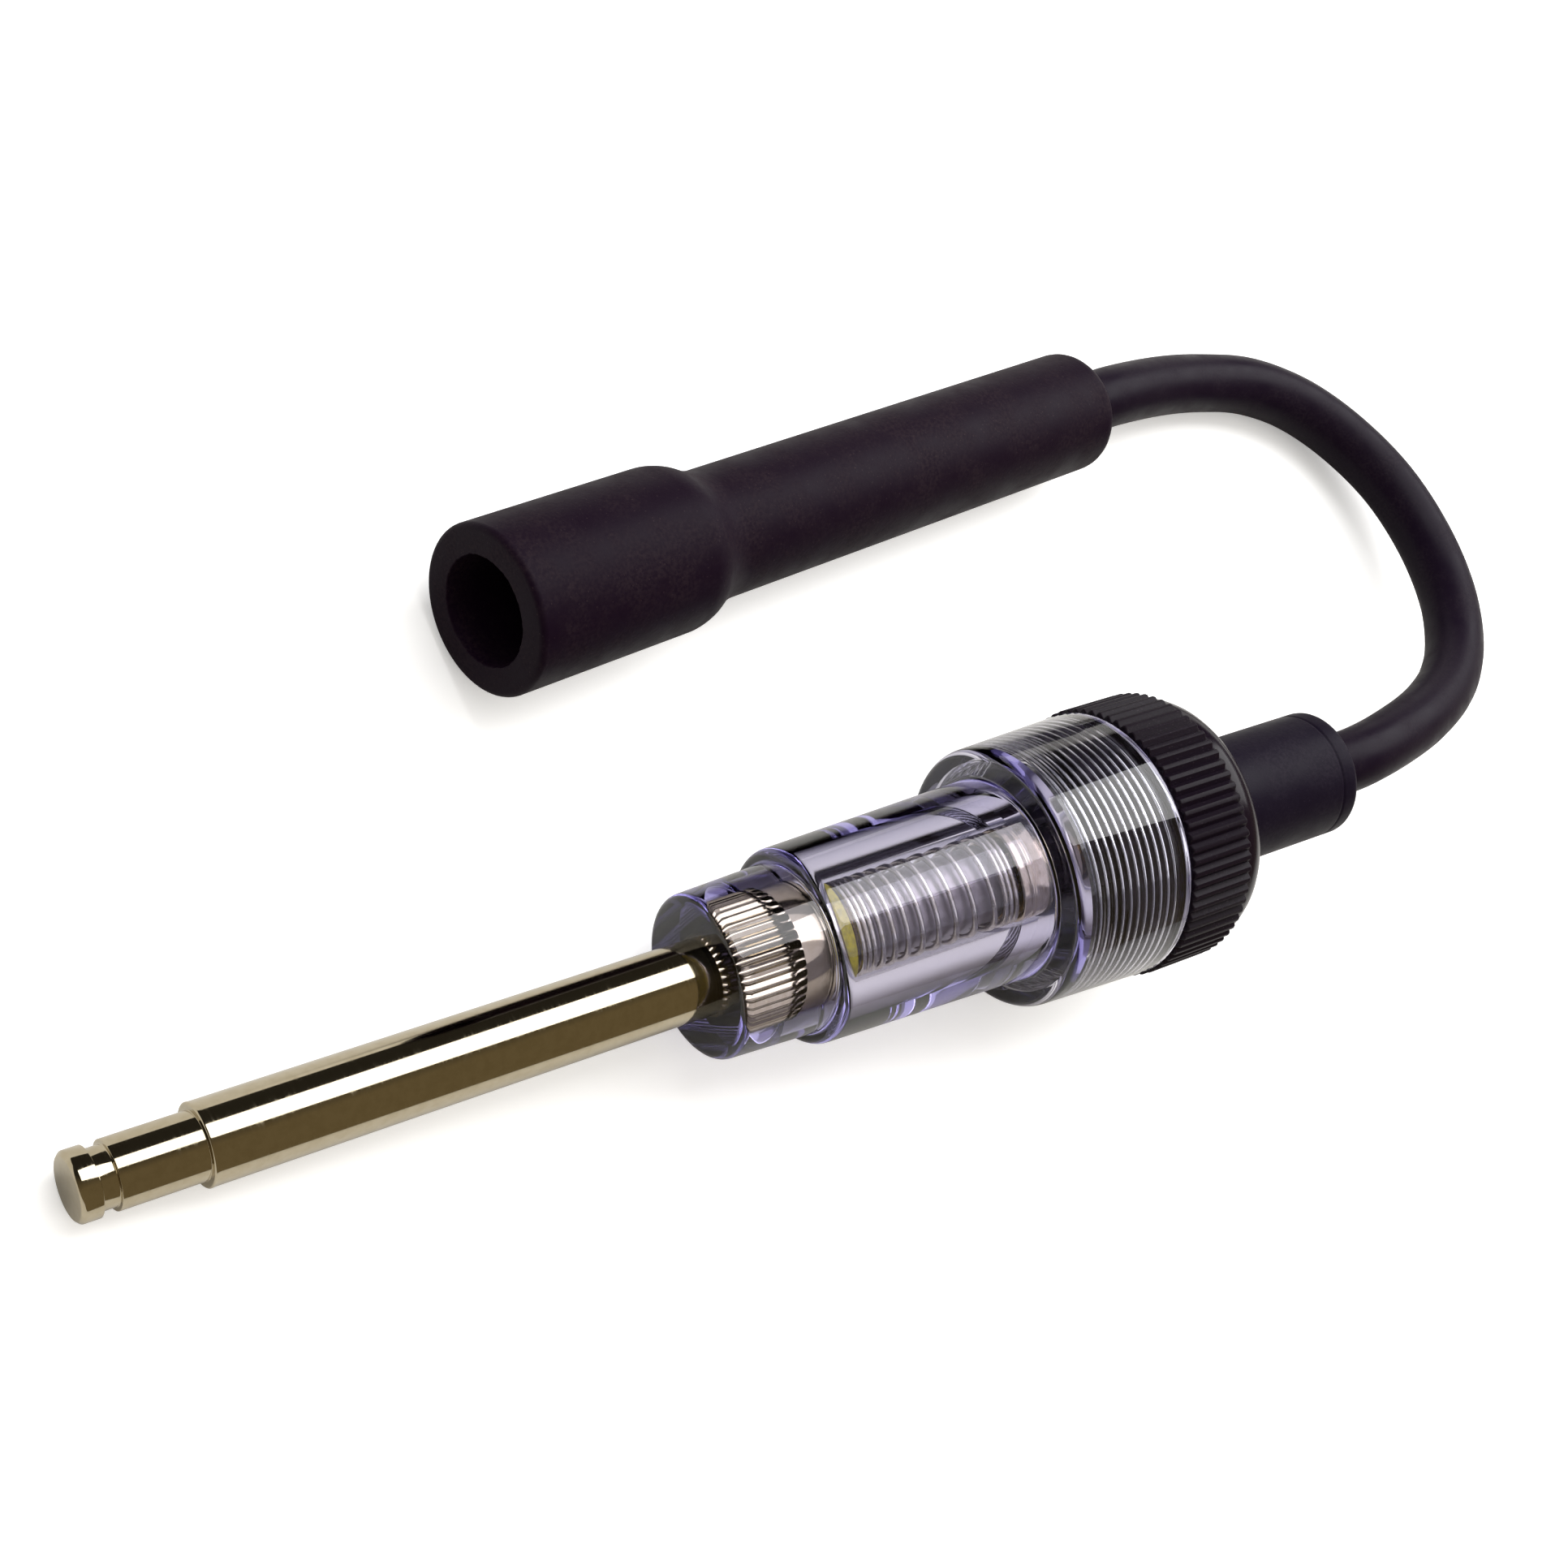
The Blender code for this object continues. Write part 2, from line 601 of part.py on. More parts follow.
def snap_clip(axis, collection):
    """Open wire ring that lies in the terminal's groove and grips the plug."""
    radius = CLIP_TERMINAL_R - CLIP_GROOVE_DEPTH + GAP + SNAP_WIRE_R
    middle = CLIP_GROOVE_START + CLIP_GROOVE_WIDTH / 2
    curve = bpy.data.curves.new("boot_terminal_clip", "CURVE")
    curve.dimensions = "3D"
    curve.bevel_depth = SNAP_WIRE_R
    curve.bevel_resolution = 2
    curve.use_fill_caps = True
    spline = curve.splines.new("POLY")
    spline.points.add(SNAP_STEPS)
    for i, point in enumerate(spline.points):
        angle = SNAP_OPENING / 2 + (math.tau - SNAP_OPENING) * i / SNAP_STEPS
        point.co = (radius * math.cos(angle), radius * math.sin(angle), middle, 1)
    clip = bpy.data.objects.new("boot_terminal_clip", curve)
    collection.objects.link(clip)
    clip.parent = axis
    material(clip, "steel")
    return clip


def main():
    """Build the whole tester."""
    clear_scene()
    pieces = new_collection("spark_tester")
    tester = axis_empty("tester_axis", TESTER_ORIGIN, TESTER_DIRECTION, pieces)
    boot = axis_empty("boot_axis", BOOT_ORIGIN, BOOT_DIRECTION, pieces)
    probe_rod(tester, pieces)
    clear_barrel(tester, pieces)
    seat_ring(tester, pieces)
    contact_spring(tester, pieces)
    lamp(tester, pieces)
    terminal(tester, pieces)
    screw_cap(tester, pieces)
    strain_relief_sleeve(tester, pieces)
    held_lead("in_sleeve", LEAD_START, SLEEVE_END - GAP, tester, pieces)
    conductor("in_sleeve", SCREW_END + GAP, SLEEVE_END - 2 * GAP, tester, pieces)
    ht_lead(pieces)
    crimped = CLIP_TERMINAL_START + CLIP_SOCKET_LENGTH + CLIP_WEB + GAP
    held_lead("in_boot", crimped, BOOT_LENGTH - GAP, boot, pieces)
    conductor("in_boot", crimped + GAP, BOOT_LENGTH - 2 * GAP, boot, pieces)
    plug_boot(boot, pieces)
    boot_terminal(boot, pieces)
    snap_clip(boot, pieces)


main()
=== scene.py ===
"""Looks of an in-line ignition spark tester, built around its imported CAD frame.

A plated probe is moulded into a clear housing that holds a spring, a lamp and a terminal cup.
A ribbed cap screws into the housing and holds a rubber sleeve, from which the ignition lead runs
round to a plug boot. Units are metres and +Z is up. Sizes in the classes are in millimetres:
stations run along the tester's axis from the probe's front face, depths along the boot's axis
from its mouth.
"""

from __future__ import annotations

import json
import logging
import math
from collections.abc import Callable, Sequence
from dataclasses import dataclass
from enum import Enum

import bmesh
import bpy
from mathutils import Euler, Matrix, Vector


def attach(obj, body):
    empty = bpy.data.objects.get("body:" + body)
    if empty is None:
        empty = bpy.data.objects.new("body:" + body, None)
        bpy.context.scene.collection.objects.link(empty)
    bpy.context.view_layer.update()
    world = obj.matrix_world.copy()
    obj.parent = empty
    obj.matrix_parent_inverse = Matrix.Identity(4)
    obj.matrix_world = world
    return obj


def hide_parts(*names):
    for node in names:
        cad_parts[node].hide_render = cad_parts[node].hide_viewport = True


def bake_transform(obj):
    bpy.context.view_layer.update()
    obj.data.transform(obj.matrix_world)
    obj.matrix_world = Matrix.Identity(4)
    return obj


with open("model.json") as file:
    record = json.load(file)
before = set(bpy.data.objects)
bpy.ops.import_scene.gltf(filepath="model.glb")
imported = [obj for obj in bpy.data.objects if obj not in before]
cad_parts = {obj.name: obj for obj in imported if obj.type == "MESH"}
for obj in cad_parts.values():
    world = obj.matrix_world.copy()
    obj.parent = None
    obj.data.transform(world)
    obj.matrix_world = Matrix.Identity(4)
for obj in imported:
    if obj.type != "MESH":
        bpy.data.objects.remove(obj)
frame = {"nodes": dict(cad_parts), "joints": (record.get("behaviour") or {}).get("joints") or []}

LOG = logging.getLogger("spark_tester")
MM = 0.001
WELD = 0.001 * MM  # distance at which doubled vertices are merged
CAP_JOINT_STATION = 120.0  # where the cap's joint sits on the tester's axis, in mm

Colour = tuple[float, float, float]


class Body(Enum):
    """The rigid bodies that the pieces ride on."""

    TESTER = "tester"
    LEAD_SET = "lead_set"
    CAP = "cap"
    BOOT = "boot"


class Slot(Enum):
    """The record's material slots."""

    NICKEL = "nickel_plate"
    SPRING = "spring_steel"
    CLEAR = "clear_housing"
    FIBRE = "yellow_fibre"
    LAMP = "lamp_glass"
    BRASS = "lamp_brass"
    CAP = "cap_plastic"
    RUBBER = "black_rubber"
    JACKET = "lead_jacket"
    COPPER = "conductor_copper"
    STEEL = "terminal_steel"


# ---------------------------------------------------------------- axes and shapes


@dataclass(frozen=True)
class Axle:
    """A straight line that turned pieces are built about.

    Args:
        origin: the point at station zero, in metres.
        direction: the unit vector along which stations grow.
    """

    origin: Vector
    direction: Vector

    @classmethod
    def of_joint(cls, joint: str, station: float) -> Axle:
        """The axis of a hinge of the frame.

        Args:
            joint: the hinge's name.
            station: the station of the hinge's own point, in mm.

        Returns:
            The axle with its origin at station zero.
        """
        found = next(j for j in frame["joints"] if j["name"] == joint)
        direction = Vector(found["axis"]).normalized()
        return cls(Vector(found["pos_m"]) - direction * station * MM, direction)

    def turn(self) -> Euler:
        """The turn that takes +Z to the axle's direction and keeps Y level."""
        yaw = math.atan2(self.direction.y, self.direction.x)
        return Euler((0, math.acos(self.direction.z), yaw))

    def matrix(self) -> Matrix:
        """The matrix that takes a shape built about Z to the axle."""
        return Matrix.Translation(self.origin) @ self.turn().to_matrix().to_4x4()

    def point(self, station: float) -> Vector:
        """The point at a station given in mm."""
        return self.origin + self.direction * station * MM


@dataclass(frozen=True)
class Corner:
    """One corner of a turned profile, in mm.

    Args:
        radius: distance from the axis.
        station: distance along the axis.
        rounding: how far the corner is cut back along its two sides, 0 for a sharp corner.
        cuts: how many points are added between this corner and the next.
    """

    radius: float
    station: float
    rounding: float = 0.0
    cuts: int = 0


@dataclass(frozen=True)
class Turned:
    """A shape turned about the Z axis from a profile.

    Args:
        corners: the profile in order. An open profile starts and ends on the axis.
        steps: faces round the shape.
        closed: whether the last corner joins the first.
        segments: faces across each rounded corner.
    """

    corners: Sequence[Corner]
    steps: int = 96
    closed: bool = True
    segments: int = 5

    def shape(self) -> bmesh.types.BMesh:
        """The turned shape, welded, with its faces outwards.

        Returns:
            A new bmesh in metres, about the Z axis.
        """
        made = bmesh.new()
        spots = [made.verts.new((c.radius * MM, 0, c.station * MM)) for c in self.corners]
        pairs = list(zip(spots, spots[1:]))
        if self.closed:
            pairs.append((spots[-1], spots[0]))
        edges = [made.edges.new(pair) for pair in pairs]
        for edge, corner in zip(edges, self.corners):
            if corner.cuts:
                bmesh.ops.subdivide_edges(made, edges=[edge], cuts=corner.cuts)
        for corner in self.corners:
            if corner.rounding:
                at = Vector((corner.radius * MM, 0, corner.station * MM))
                bmesh.ops.bevel(
                    made,
                    geom=[min(made.verts, key=lambda spot: (spot.co - at).length_squared)],
                    offset=corner.rounding * MM,
                    offset_type="OFFSET",
                    segments=self.segments,
                    profile=0.5,
                    affect="VERTICES",
                    material=-1,
                )
        bmesh.ops.spin(
            made,
            geom=made.verts[:] + made.edges[:],
            cent=(0, 0, 0),
            axis=(0, 0, 1),
            dvec=(0, 0, 0),
            angle=math.tau,
            steps=self.steps,
            use_merge=True,
            use_duplicate=False,
        )
        bmesh.ops.remove_doubles(made, verts=made.verts[:], dist=WELD)
        bmesh.ops.recalc_face_normals(made, faces=made.faces[:])
        return made


def push_radially(
    shape: bmesh.types.BMesh,
    low: float,
    high: float,
    inner: float,
    outer: float,
    amount: Callable[[float, float], float],
) -> None:
    """Move the vertices of one band of a turned shape in or out.

    Args:
        shape: the shape, about the Z axis.
        low: the band's first station, in mm.
        high: the band's last station, in mm.
        inner: the smallest radius that moves, in mm.
        outer: the largest radius that moves, in mm.
        amount: how far out a vertex moves in mm, from its angle in turns and its station.
    """
    for spot in shape.verts:
        radius = math.hypot(spot.co.x, spot.co.y) / MM
        station = spot.co.z / MM
        if low <= station <= high and inner <= radius <= outer:
            part = math.atan2(spot.co.y, spot.co.x) / math.tau % 1.0
            spot.co.xy *= (radius + amount(part, station)) / radius


@dataclass(frozen=True)
class Thread:
    """A right-handed screw thread with rounded crests and roots.

    Args:
        pitch: distance between turns, in mm.
        height: from root to crest, in mm. Below zero, the crests point inwards.
        shift: part of a turn by which the thread is set on.
        start: first station of the full thread, in mm.
        end: last station of the full thread, in mm.
        runout: length over which it fades at both ends, in mm.
    """

    pitch: float
    height: float
    shift: float
    start: float
    end: float
    runout: float = 0.5

    def rise(self, part: float, station: float) -> float:
        """How far the thread stands from its root.

        Args:
            part: the angle, in turns.
            station: the station, in mm.

        Returns:
            The rise in mm.
        """
        place = (station / self.pitch - part + self.shift) % 1.0
        flank = 1 - abs(2 * place - 1)
        tooth = flank * flank * (3 - 2 * flank)
        inside = min(station - self.start, self.end - station) / self.runout
        return self.height * tooth * min(max(inside + 1, 0), 1)


def place_piece(
    shape: bmesh.types.BMesh,
    name: str,
    axle: Axle,
    look: bpy.types.Material,
    sharp: float = 40.0,
) -> bpy.types.Object:
    """Turn a shape into an object whose place is in its mesh.

    Args:
        shape: the shape, about the Z axis. It is freed.
        name: the piece's name.
        axle: the line that the shape goes on.
        look: its material.
        sharp: edges that fold by more than this many degrees stay sharp.

    Returns:
        The object, at the origin and unturned.
    """
    bmesh.ops.transform(shape, matrix=axle.matrix(), verts=shape.verts[:])
    mesh = bpy.data.meshes.new(name)
    shape.to_mesh(mesh)
    shape.free()
    mesh.shade_smooth()
    mesh.set_sharp_from_angle(angle=math.radians(sharp))
    mesh.materials.append(look)
    piece = bpy.data.objects.new(name, mesh)
    bpy.context.scene.collection.objects.link(piece)
    return piece


def settle(piece: bpy.types.Object, body: Body, slot: Slot, *nodes: str) -> bpy.types.Object:
    """Let a piece ride on its body in place of its CAD nodes.

    Args:
        piece: the finished piece.
        body: the body that carries it.
        slot: the slot that its finish belongs to; not used.
        nodes: the CAD nodes that it stands for.

    Returns:
        The same piece.
    """
    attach(piece, body.value)
    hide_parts(*nodes)
    faces = len(piece.data.polygons) if piece.type == "MESH" else 0
    LOG.info("%s on %s, %d faces", piece.name, body.value, faces)
    return piece


# ---------------------------------------------------------------- shader nodes


class Graph:
    """A node tree with short ways to add and join its nodes."""

    def __init__(self, tree: bpy.types.NodeTree) -> None:
        """Keep the tree that nodes are added to."""
        self.tree = tree

    def add(self, kind: str, **settings: object) -> bpy.types.Node:
        """Add a node.

        Args:
            kind: the node's type without its ShaderNode prefix.
            settings: properties of the node to set.

        Returns:
            The new node.
        """
        prefix = "" if kind.startswith("NodeGroup") else "ShaderNode"
        made = self.tree.nodes.new(prefix + kind)
        for name, value in settings.items():
            setattr(made, name, value)
        return made

    def feed(self, node: bpy.types.Node, **inputs: object) -> bpy.types.Node:
        """Set or link a node's inputs, named with underscores for spaces.

        Args:
            node: the node whose inputs are fed.
            inputs: a socket to link, or a plain value, by input name.

        Returns:
            The same node.
        """
        for name, value in inputs.items():
            socket = node.inputs[name.replace("_", " ")]
            if isinstance(value, bpy.types.NodeSocket):
                self.tree.links.new(value, socket)
            else:
                socket.default_value = value
        return node

    def math(self, operation: str, first: object, second: object = 0.0) -> bpy.types.NodeSocket:
        """Add a Math node on two sockets or numbers.

        Args:
            operation: the node's operation.
            first: the first socket or number.
            second: the second socket or number.

        Returns:
            The node's output socket.
        """
        node = self.add("Math", operation=operation)
        for socket, value in zip(node.inputs, (first, second)):
            if isinstance(value, bpy.types.NodeSocket):
                self.tree.links.new(value, socket)
            else:
                socket.default_value = value
        return node.outputs[0]

    def spread(
        self, value: bpy.types.NodeSocket, before: tuple[float, float], after: tuple[float, float]
    ) -> bpy.types.NodeSocket:
        """Take a value from one range to another, clamped.

        Args:
            value: the socket that varies.
            before: the range it comes in.
            after: the range it goes out in.

        Returns:
            The output socket.
        """
        node = self.add("MapRange", clamp=True)
        self.feed(
            node,
            Value=value,
            From_Min=before[0],
            From_Max=before[1],
            To_Min=after[0],
            To_Max=after[1],
        )
        return node.outputs["Result"]

    def mix(
        self, share: bpy.types.NodeSocket, first: Colour | bpy.types.NodeSocket, second: Colour
    ) -> bpy.types.NodeSocket:
        """Mix two colours by a mask.

        Args:
            share: the mask, 0 for the first colour and 1 for the second.
            first: a colour or a colour socket.
            second: a colour.

        Returns:
            The mixed colour's socket.
        """
        node = self.add("Mix", data_type="RGBA", clamp_factor=True)
        self.tree.links.new(share, node.inputs[0])
        if isinstance(first, bpy.types.NodeSocket):
            self.tree.links.new(first, node.inputs[6])
        else:
            node.inputs[6].default_value = (*first, 1)
        node.inputs[7].default_value = (*second, 1)
        return node.outputs[2]


class Effects:
    """The effects that several materials share, each a node group that is built once."""

    def __init__(self) -> None:
        """Start with no group built."""
        self.built: dict[str, bpy.types.NodeTree] = {}

    def group(
        self, name: str, numbers: Sequence[str], outputs: Sequence[str]
    ) -> tuple[Graph, bpy.types.Node, bpy.types.Node]:
        """Make an empty group with a Vector input.

        Args:
            name: the group's name.
            numbers: names of its number inputs.
            outputs: names of its number outputs.

        Returns:
            Its graph, its input node and its output node.
        """
        tree = bpy.data.node_groups.new(name, "ShaderNodeTree")
        tree.interface.new_socket("Vector", in_out="INPUT", socket_type="NodeSocketVector")
        for number in numbers:
            tree.interface.new_socket(number, in_out="INPUT", socket_type="NodeSocketFloat")
        for output in outputs:
            tree.interface.new_socket(output, in_out="OUTPUT", socket_type="NodeSocketFloat")
        graph = Graph(tree)
        self.built[name] = tree
        return graph, graph.add("NodeGroupInput"), graph.add("NodeGroupOutput")

    def grain(self) -> bpy.types.NodeTree:
        """Fine uneven grain, as a height and a soft mask. Scale is in grains per metre.

        Returns:
            The node group.
        """
        if "grain" not in self.built:
            graph, source, result = self.group("grain", ["Scale"], ["Height", "Mask"])
            noise = graph.add("TexNoise")
            graph.feed(
                noise,
                Vector=source.outputs["Vector"],
                Scale=source.outputs["Scale"],
                Detail=4.0,
                Roughness=0.6,
            )
            graph.feed(result, Height=noise.outputs["Fac"])
            graph.feed(result, Mask=graph.spread(noise.outputs["Fac"], (0.4, 0.62), (0, 1)))
        return self.built["grain"]

    def turning(self) -> bpy.types.NodeTree:
        """Fine rings left by turning about Z. Density is in rings per metre.

        Returns:
            The node group.
        """
        if "turning" not in self.built:
            graph, source, result = self.group("turning", ["Density"], ["Height", "Mask"])
            apart = graph.add("SeparateXYZ")
            graph.feed(apart, Vector=source.outputs["Vector"])
            together = graph.add("CombineXYZ")
            graph.feed(
                together,
                X=graph.math("MULTIPLY", apart.outputs["X"], 60.0),
                Y=graph.math("MULTIPLY", apart.outputs["Y"], 60.0),
                Z=graph.math("MULTIPLY", apart.outputs["Z"], source.outputs["Density"]),
            )
            noise = graph.add("TexNoise")
            graph.feed(noise, Vector=together.outputs[0], Scale=1.0, Detail=3.0, Roughness=0.7)
            graph.feed(result, Height=noise.outputs["Fac"])
            graph.feed(result, Mask=graph.spread(noise.outputs["Fac"], (0.45, 0.65), (0, 1)))
        return self.built["turning"]

    def specks(self) -> bpy.types.NodeTree:
        """Scattered specks of dust or filler. Scale is in specks per metre, Size is 0 to 1.

        Returns:
            The node group.
        """
        if "specks" not in self.built:
            graph, source, result = self.group("specks", ["Scale", "Size"], ["Mask"])
            cells = graph.add("TexVoronoi", feature="F1")
            graph.feed(cells, Vector=source.outputs["Vector"], Scale=source.outputs["Scale"])
            dot = graph.math("LESS_THAN", cells.outputs["Distance"], source.outputs["Size"])
            some = graph.add("SeparateColor")
            graph.feed(some, Color=cells.outputs["Color"])
            kept = graph.math("GREATER_THAN", some.outputs[0], 0.55)
            weight = graph.math("MULTIPLY", dot, some.outputs[1])
            graph.feed(result, Mask=graph.math("MULTIPLY", weight, kept))
        return self.built["specks"]


EFFECTS = Effects()
GRAINS_PER_PATCH = 12  # grains across one smooth or dull patch of rubber
PATCH_HEIGHTS = (0.35, 0.65)  # noise heights between which a patch goes from smooth to dull


class Paint:
    """A material under construction: its graph, its shader and the piece's own coordinates."""

    def __init__(self, name: str, axle: Axle | None) -> None:
        """Start a material.

        Args:
            name: the material's name.
            axle: the line whose coordinates the patterns follow, or None for the world's.
        """
        self.material = bpy.data.materials.new(name)
        self.material.use_nodes = True
        self.graph = Graph(self.material.node_tree)
        self.shader = self.material.node_tree.nodes["Principled BSDF"]
        place = self.graph.add("TexCoord").outputs["Object"]
        if axle:
            mapping = self.graph.add("Mapping", vector_type="TEXTURE")
            self.graph.feed(
                mapping, Vector=place, Location=axle.origin, Rotation=Vector(axle.turn())
            )
            place = mapping.outputs[0]
        self.place = place

    def effect(self, tree: bpy.types.NodeTree, **values: float) -> bpy.types.Node:
        """Place a shared effect on the piece's coordinates."""
        node = self.graph.add("Group", node_tree=tree)
        return self.graph.feed(node, Vector=self.place, **values)

    def set(self, **values: object) -> None:
        """Set or link the shader's inputs, named with underscores for spaces.

        Args:
            values: a socket to link, or a plain value, by input name.
        """
        for name, value in values.items():
            if isinstance(value, tuple) and len(value) == 3:
                values[name] = (*value, 1)
        self.graph.feed(self.shader, **values)

    def bump(self, height: bpy.types.NodeSocket, depth: float) -> None:
        """Give the surface relief.

        Args:
            height: the socket that holds the height, 0 to 1.
            depth: the height's full depth, in mm.
        """
        node = self.graph.add("Bump")
        self.graph.feed(node, Height=height, Strength=1.0, Distance=depth * MM)
        self.graph.feed(self.shader, Normal=node.outputs[0])


@dataclass(frozen=True)
class MetalFinish:
    """Bare or plated metal with turning rings, a little grain and tarnish.

    Args:
        name: the finish's name.
        colour: the clean metal.
        tarnish: the darker metal in its grain.
        smooth: roughness where it is polished.
        dull: roughness where it is worn.
        rings: turning rings per metre.
        relief: depth of the rings, in mm.
    """

    name: str
    colour: Colour
    tarnish: Colour
    smooth: float
    dull: float
    rings: float = 4000.0
    relief: float = 0.001

    def material(self, axle: Axle | None) -> bpy.types.Material:
        """Build the material for pieces on an axle.

        Args:
            axle: the line that its patterns follow, or None for the world's.

        Returns:
            The material.
        """
        paint = Paint(self.name, axle)
        grain = paint.effect(EFFECTS.grain(), Scale=900.0)
        rings = paint.effect(EFFECTS.turning(), Density=self.rings)
        graph = paint.graph
        colour = graph.mix(grain.outputs["Mask"], self.colour, self.tarnish)
        worn = graph.math("MULTIPLY", grain.outputs["Mask"], rings.outputs["Mask"])
        paint.set(
            Base_Color=colour,
            Metallic=1.0,
            Roughness=graph.spread(worn, (0, 1), (self.smooth, self.dull)),
        )
        paint.bump(rings.outputs["Height"], self.relief)
        return paint.material


@dataclass(frozen=True)
class RubberFinish:
    """Moulded black rubber or jacket, with fine grain and pale specks.

    Args:
        name: the finish's name.
        colour: the rubber.
        bloom: the paler colour of its bloom and specks.
        smooth: roughness on its smoother patches.
        dull: roughness on its duller patches.
        grain: grains per metre.
        relief: depth of the grain, in mm.
        specks: size of the specks, from 0.
        specular: strength of its reflection.
        bloom_share: how much of the bloom shows on its grain.
    """

    name: str
    colour: Colour
    bloom: Colour
    smooth: float
    dull: float
    grain: float = 2500.0
    relief: float = 0.02
    specks: float = 0.16
    specular: float = 0.08
    bloom_share: float = 0.45

    def material(self, axle: Axle | None) -> bpy.types.Material:
        """Build the material for pieces on an axle.

        Args:
            axle: the line that its patterns follow, or None for the world's.

        Returns:
            The material.
        """
        paint = Paint(self.name, axle)
        graph = paint.graph
        fine = paint.effect(EFFECTS.grain(), Scale=self.grain)
        broad = paint.effect(EFFECTS.grain(), Scale=self.grain / GRAINS_PER_PATCH)
        specks = paint.effect(EFFECTS.specks(), Scale=self.grain, Size=self.specks)
        both = graph.math("MULTIPLY", fine.outputs["Mask"], broad.outputs["Mask"])
        shaded = graph.math("MULTIPLY", both, self.bloom_share)
        share = graph.math("MAXIMUM", shaded, specks.outputs["Mask"])
        patchy = broad.outputs["Height"]
        paint.set(
            Base_Color=graph.mix(share, self.colour, self.bloom),
            Roughness=graph.spread(patchy, PATCH_HEIGHTS, (self.smooth, self.dull)),
            Specular_IOR_Level=self.specular,
        )
        paint.bump(fine.outputs["Height"], self.relief)
        return paint.material


@dataclass(frozen=True)
class CapFinish:
    """Hard black plastic: spark-eroded on the ribs and polished on the dome.

    Args:
        name: the finish's name.
        colour: the plastic.
        dust: the colour of the dust in its grain.
        eroded: roughness of the ribs.
        polished: roughness of the dome.
        dome: station at which the dome starts, in mm.
        edge: length over which the ribs' finish gives way to the dome's, in mm.
        uneven: how much the grain varies the roughness.
        specular: strength of its reflection.
        relief: depth of the eroded grain, in mm.
    """

    name: str
    colour: Colour
    dust: Colour
    eroded: float
    polished: float
    dome: float
    edge: float = 0.4
    uneven: float = 0.12
    specular: float = 0.15
    relief: float = 0.02

    def material(self, axle: Axle) -> bpy.types.Material:
        """Build the material for pieces on an axle.

        Args:
            axle: the line that its patterns follow.

        Returns:
            The material.
        """
        paint = Paint(self.name, axle)
        graph = paint.graph
        grain = paint.effect(EFFECTS.grain(), Scale=3200.0)
        specks = paint.effect(EFFECTS.specks(), Scale=3500.0, Size=0.22)
        apart = graph.add("SeparateXYZ")
        graph.feed(apart, Vector=paint.place)
        change = (self.dome * MM, (self.dome + self.edge) * MM)
        ribs = graph.spread(apart.outputs["Z"], change, (1, 0))
        rough = graph.spread(ribs, (0, 1), (self.polished, self.eroded))
        uneven = graph.math("MULTIPLY", grain.outputs["Height"], self.uneven)
        share = graph.math("MULTIPLY", specks.outputs["Mask"], ribs)
        paint.set(
            Base_Color=graph.mix(share, self.colour, self.dust),
            Roughness=graph.math("ADD", rough, uneven),
            Specular_IOR_Level=self.specular,
        )
        paint.bump(graph.math("MULTIPLY", grain.outputs["Height"], ribs), self.relief)
        return paint.material


@dataclass(frozen=True)
class ClearFinish:
    """Clear moulded plastic with a violet body tint that deepens with thickness.

    Args:
        name: the finish's name.
        colour: the tint of its surface.
        tint: the colour that its body lets through.
        depth: how strongly the body absorbs, per metre.
        index: its refractive index.
        relief: depth of its moulding waves, in mm.
    """

    name: str
    colour: Colour
    tint: Colour
    depth: float
    index: float
    relief: float = 0.001

    def material(self, axle: Axle | None) -> bpy.types.Material:
        """Build the material for pieces on an axle.

        Args:
            axle: the line that its patterns follow, or None for the world's.

        Returns:
            The material.
        """
        paint = Paint(self.name, axle)
        graph = paint.graph
        flow = paint.effect(EFFECTS.grain(), Scale=220.0)
        paint.set(
            Base_Color=self.colour,
            Roughness=0.0,
            IOR=self.index,
            Transmission_Weight=1.0,
        )
        paint.bump(flow.outputs["Height"], self.relief)
        body = graph.add("VolumeAbsorption")
        graph.feed(body, Color=(*self.tint, 1), Density=self.depth)
        output = paint.material.node_tree.nodes["Material Output"]
        graph.feed(output, Volume=body.outputs[0])
        return paint.material


@dataclass(frozen=True)
class LampFinish:
    """Grey inner-coated lamp tube with a thin smooth skin.

    Args:
        name: the finish's name.
        colour: the coating.
        shade: the coating where it is thin.
    """

    name: str
    colour: Colour
    shade: Colour

    def material(self, axle: Axle | None) -> bpy.types.Material:
        """Build the material for pieces on an axle.

        Args:
            axle: the line that its patterns follow, or None for the world's.

        Returns:
            The material.
        """
        paint = Paint(self.name, axle)
        graph = paint.graph
        patches = paint.effect(EFFECTS.grain(), Scale=700.0)
        specks = paint.effect(EFFECTS.specks(), Scale=2600.0, Size=0.2)
        share = graph.math("MAXIMUM", patches.outputs["Mask"], specks.outputs["Mask"])
        paint.set(
            Base_Color=graph.mix(share, self.colour, self.shade),
            Metallic=0.6,
            Roughness=graph.spread(patches.outputs["Height"], (0.3, 0.7), (0.30, 0.42)),
        )
        return paint.material


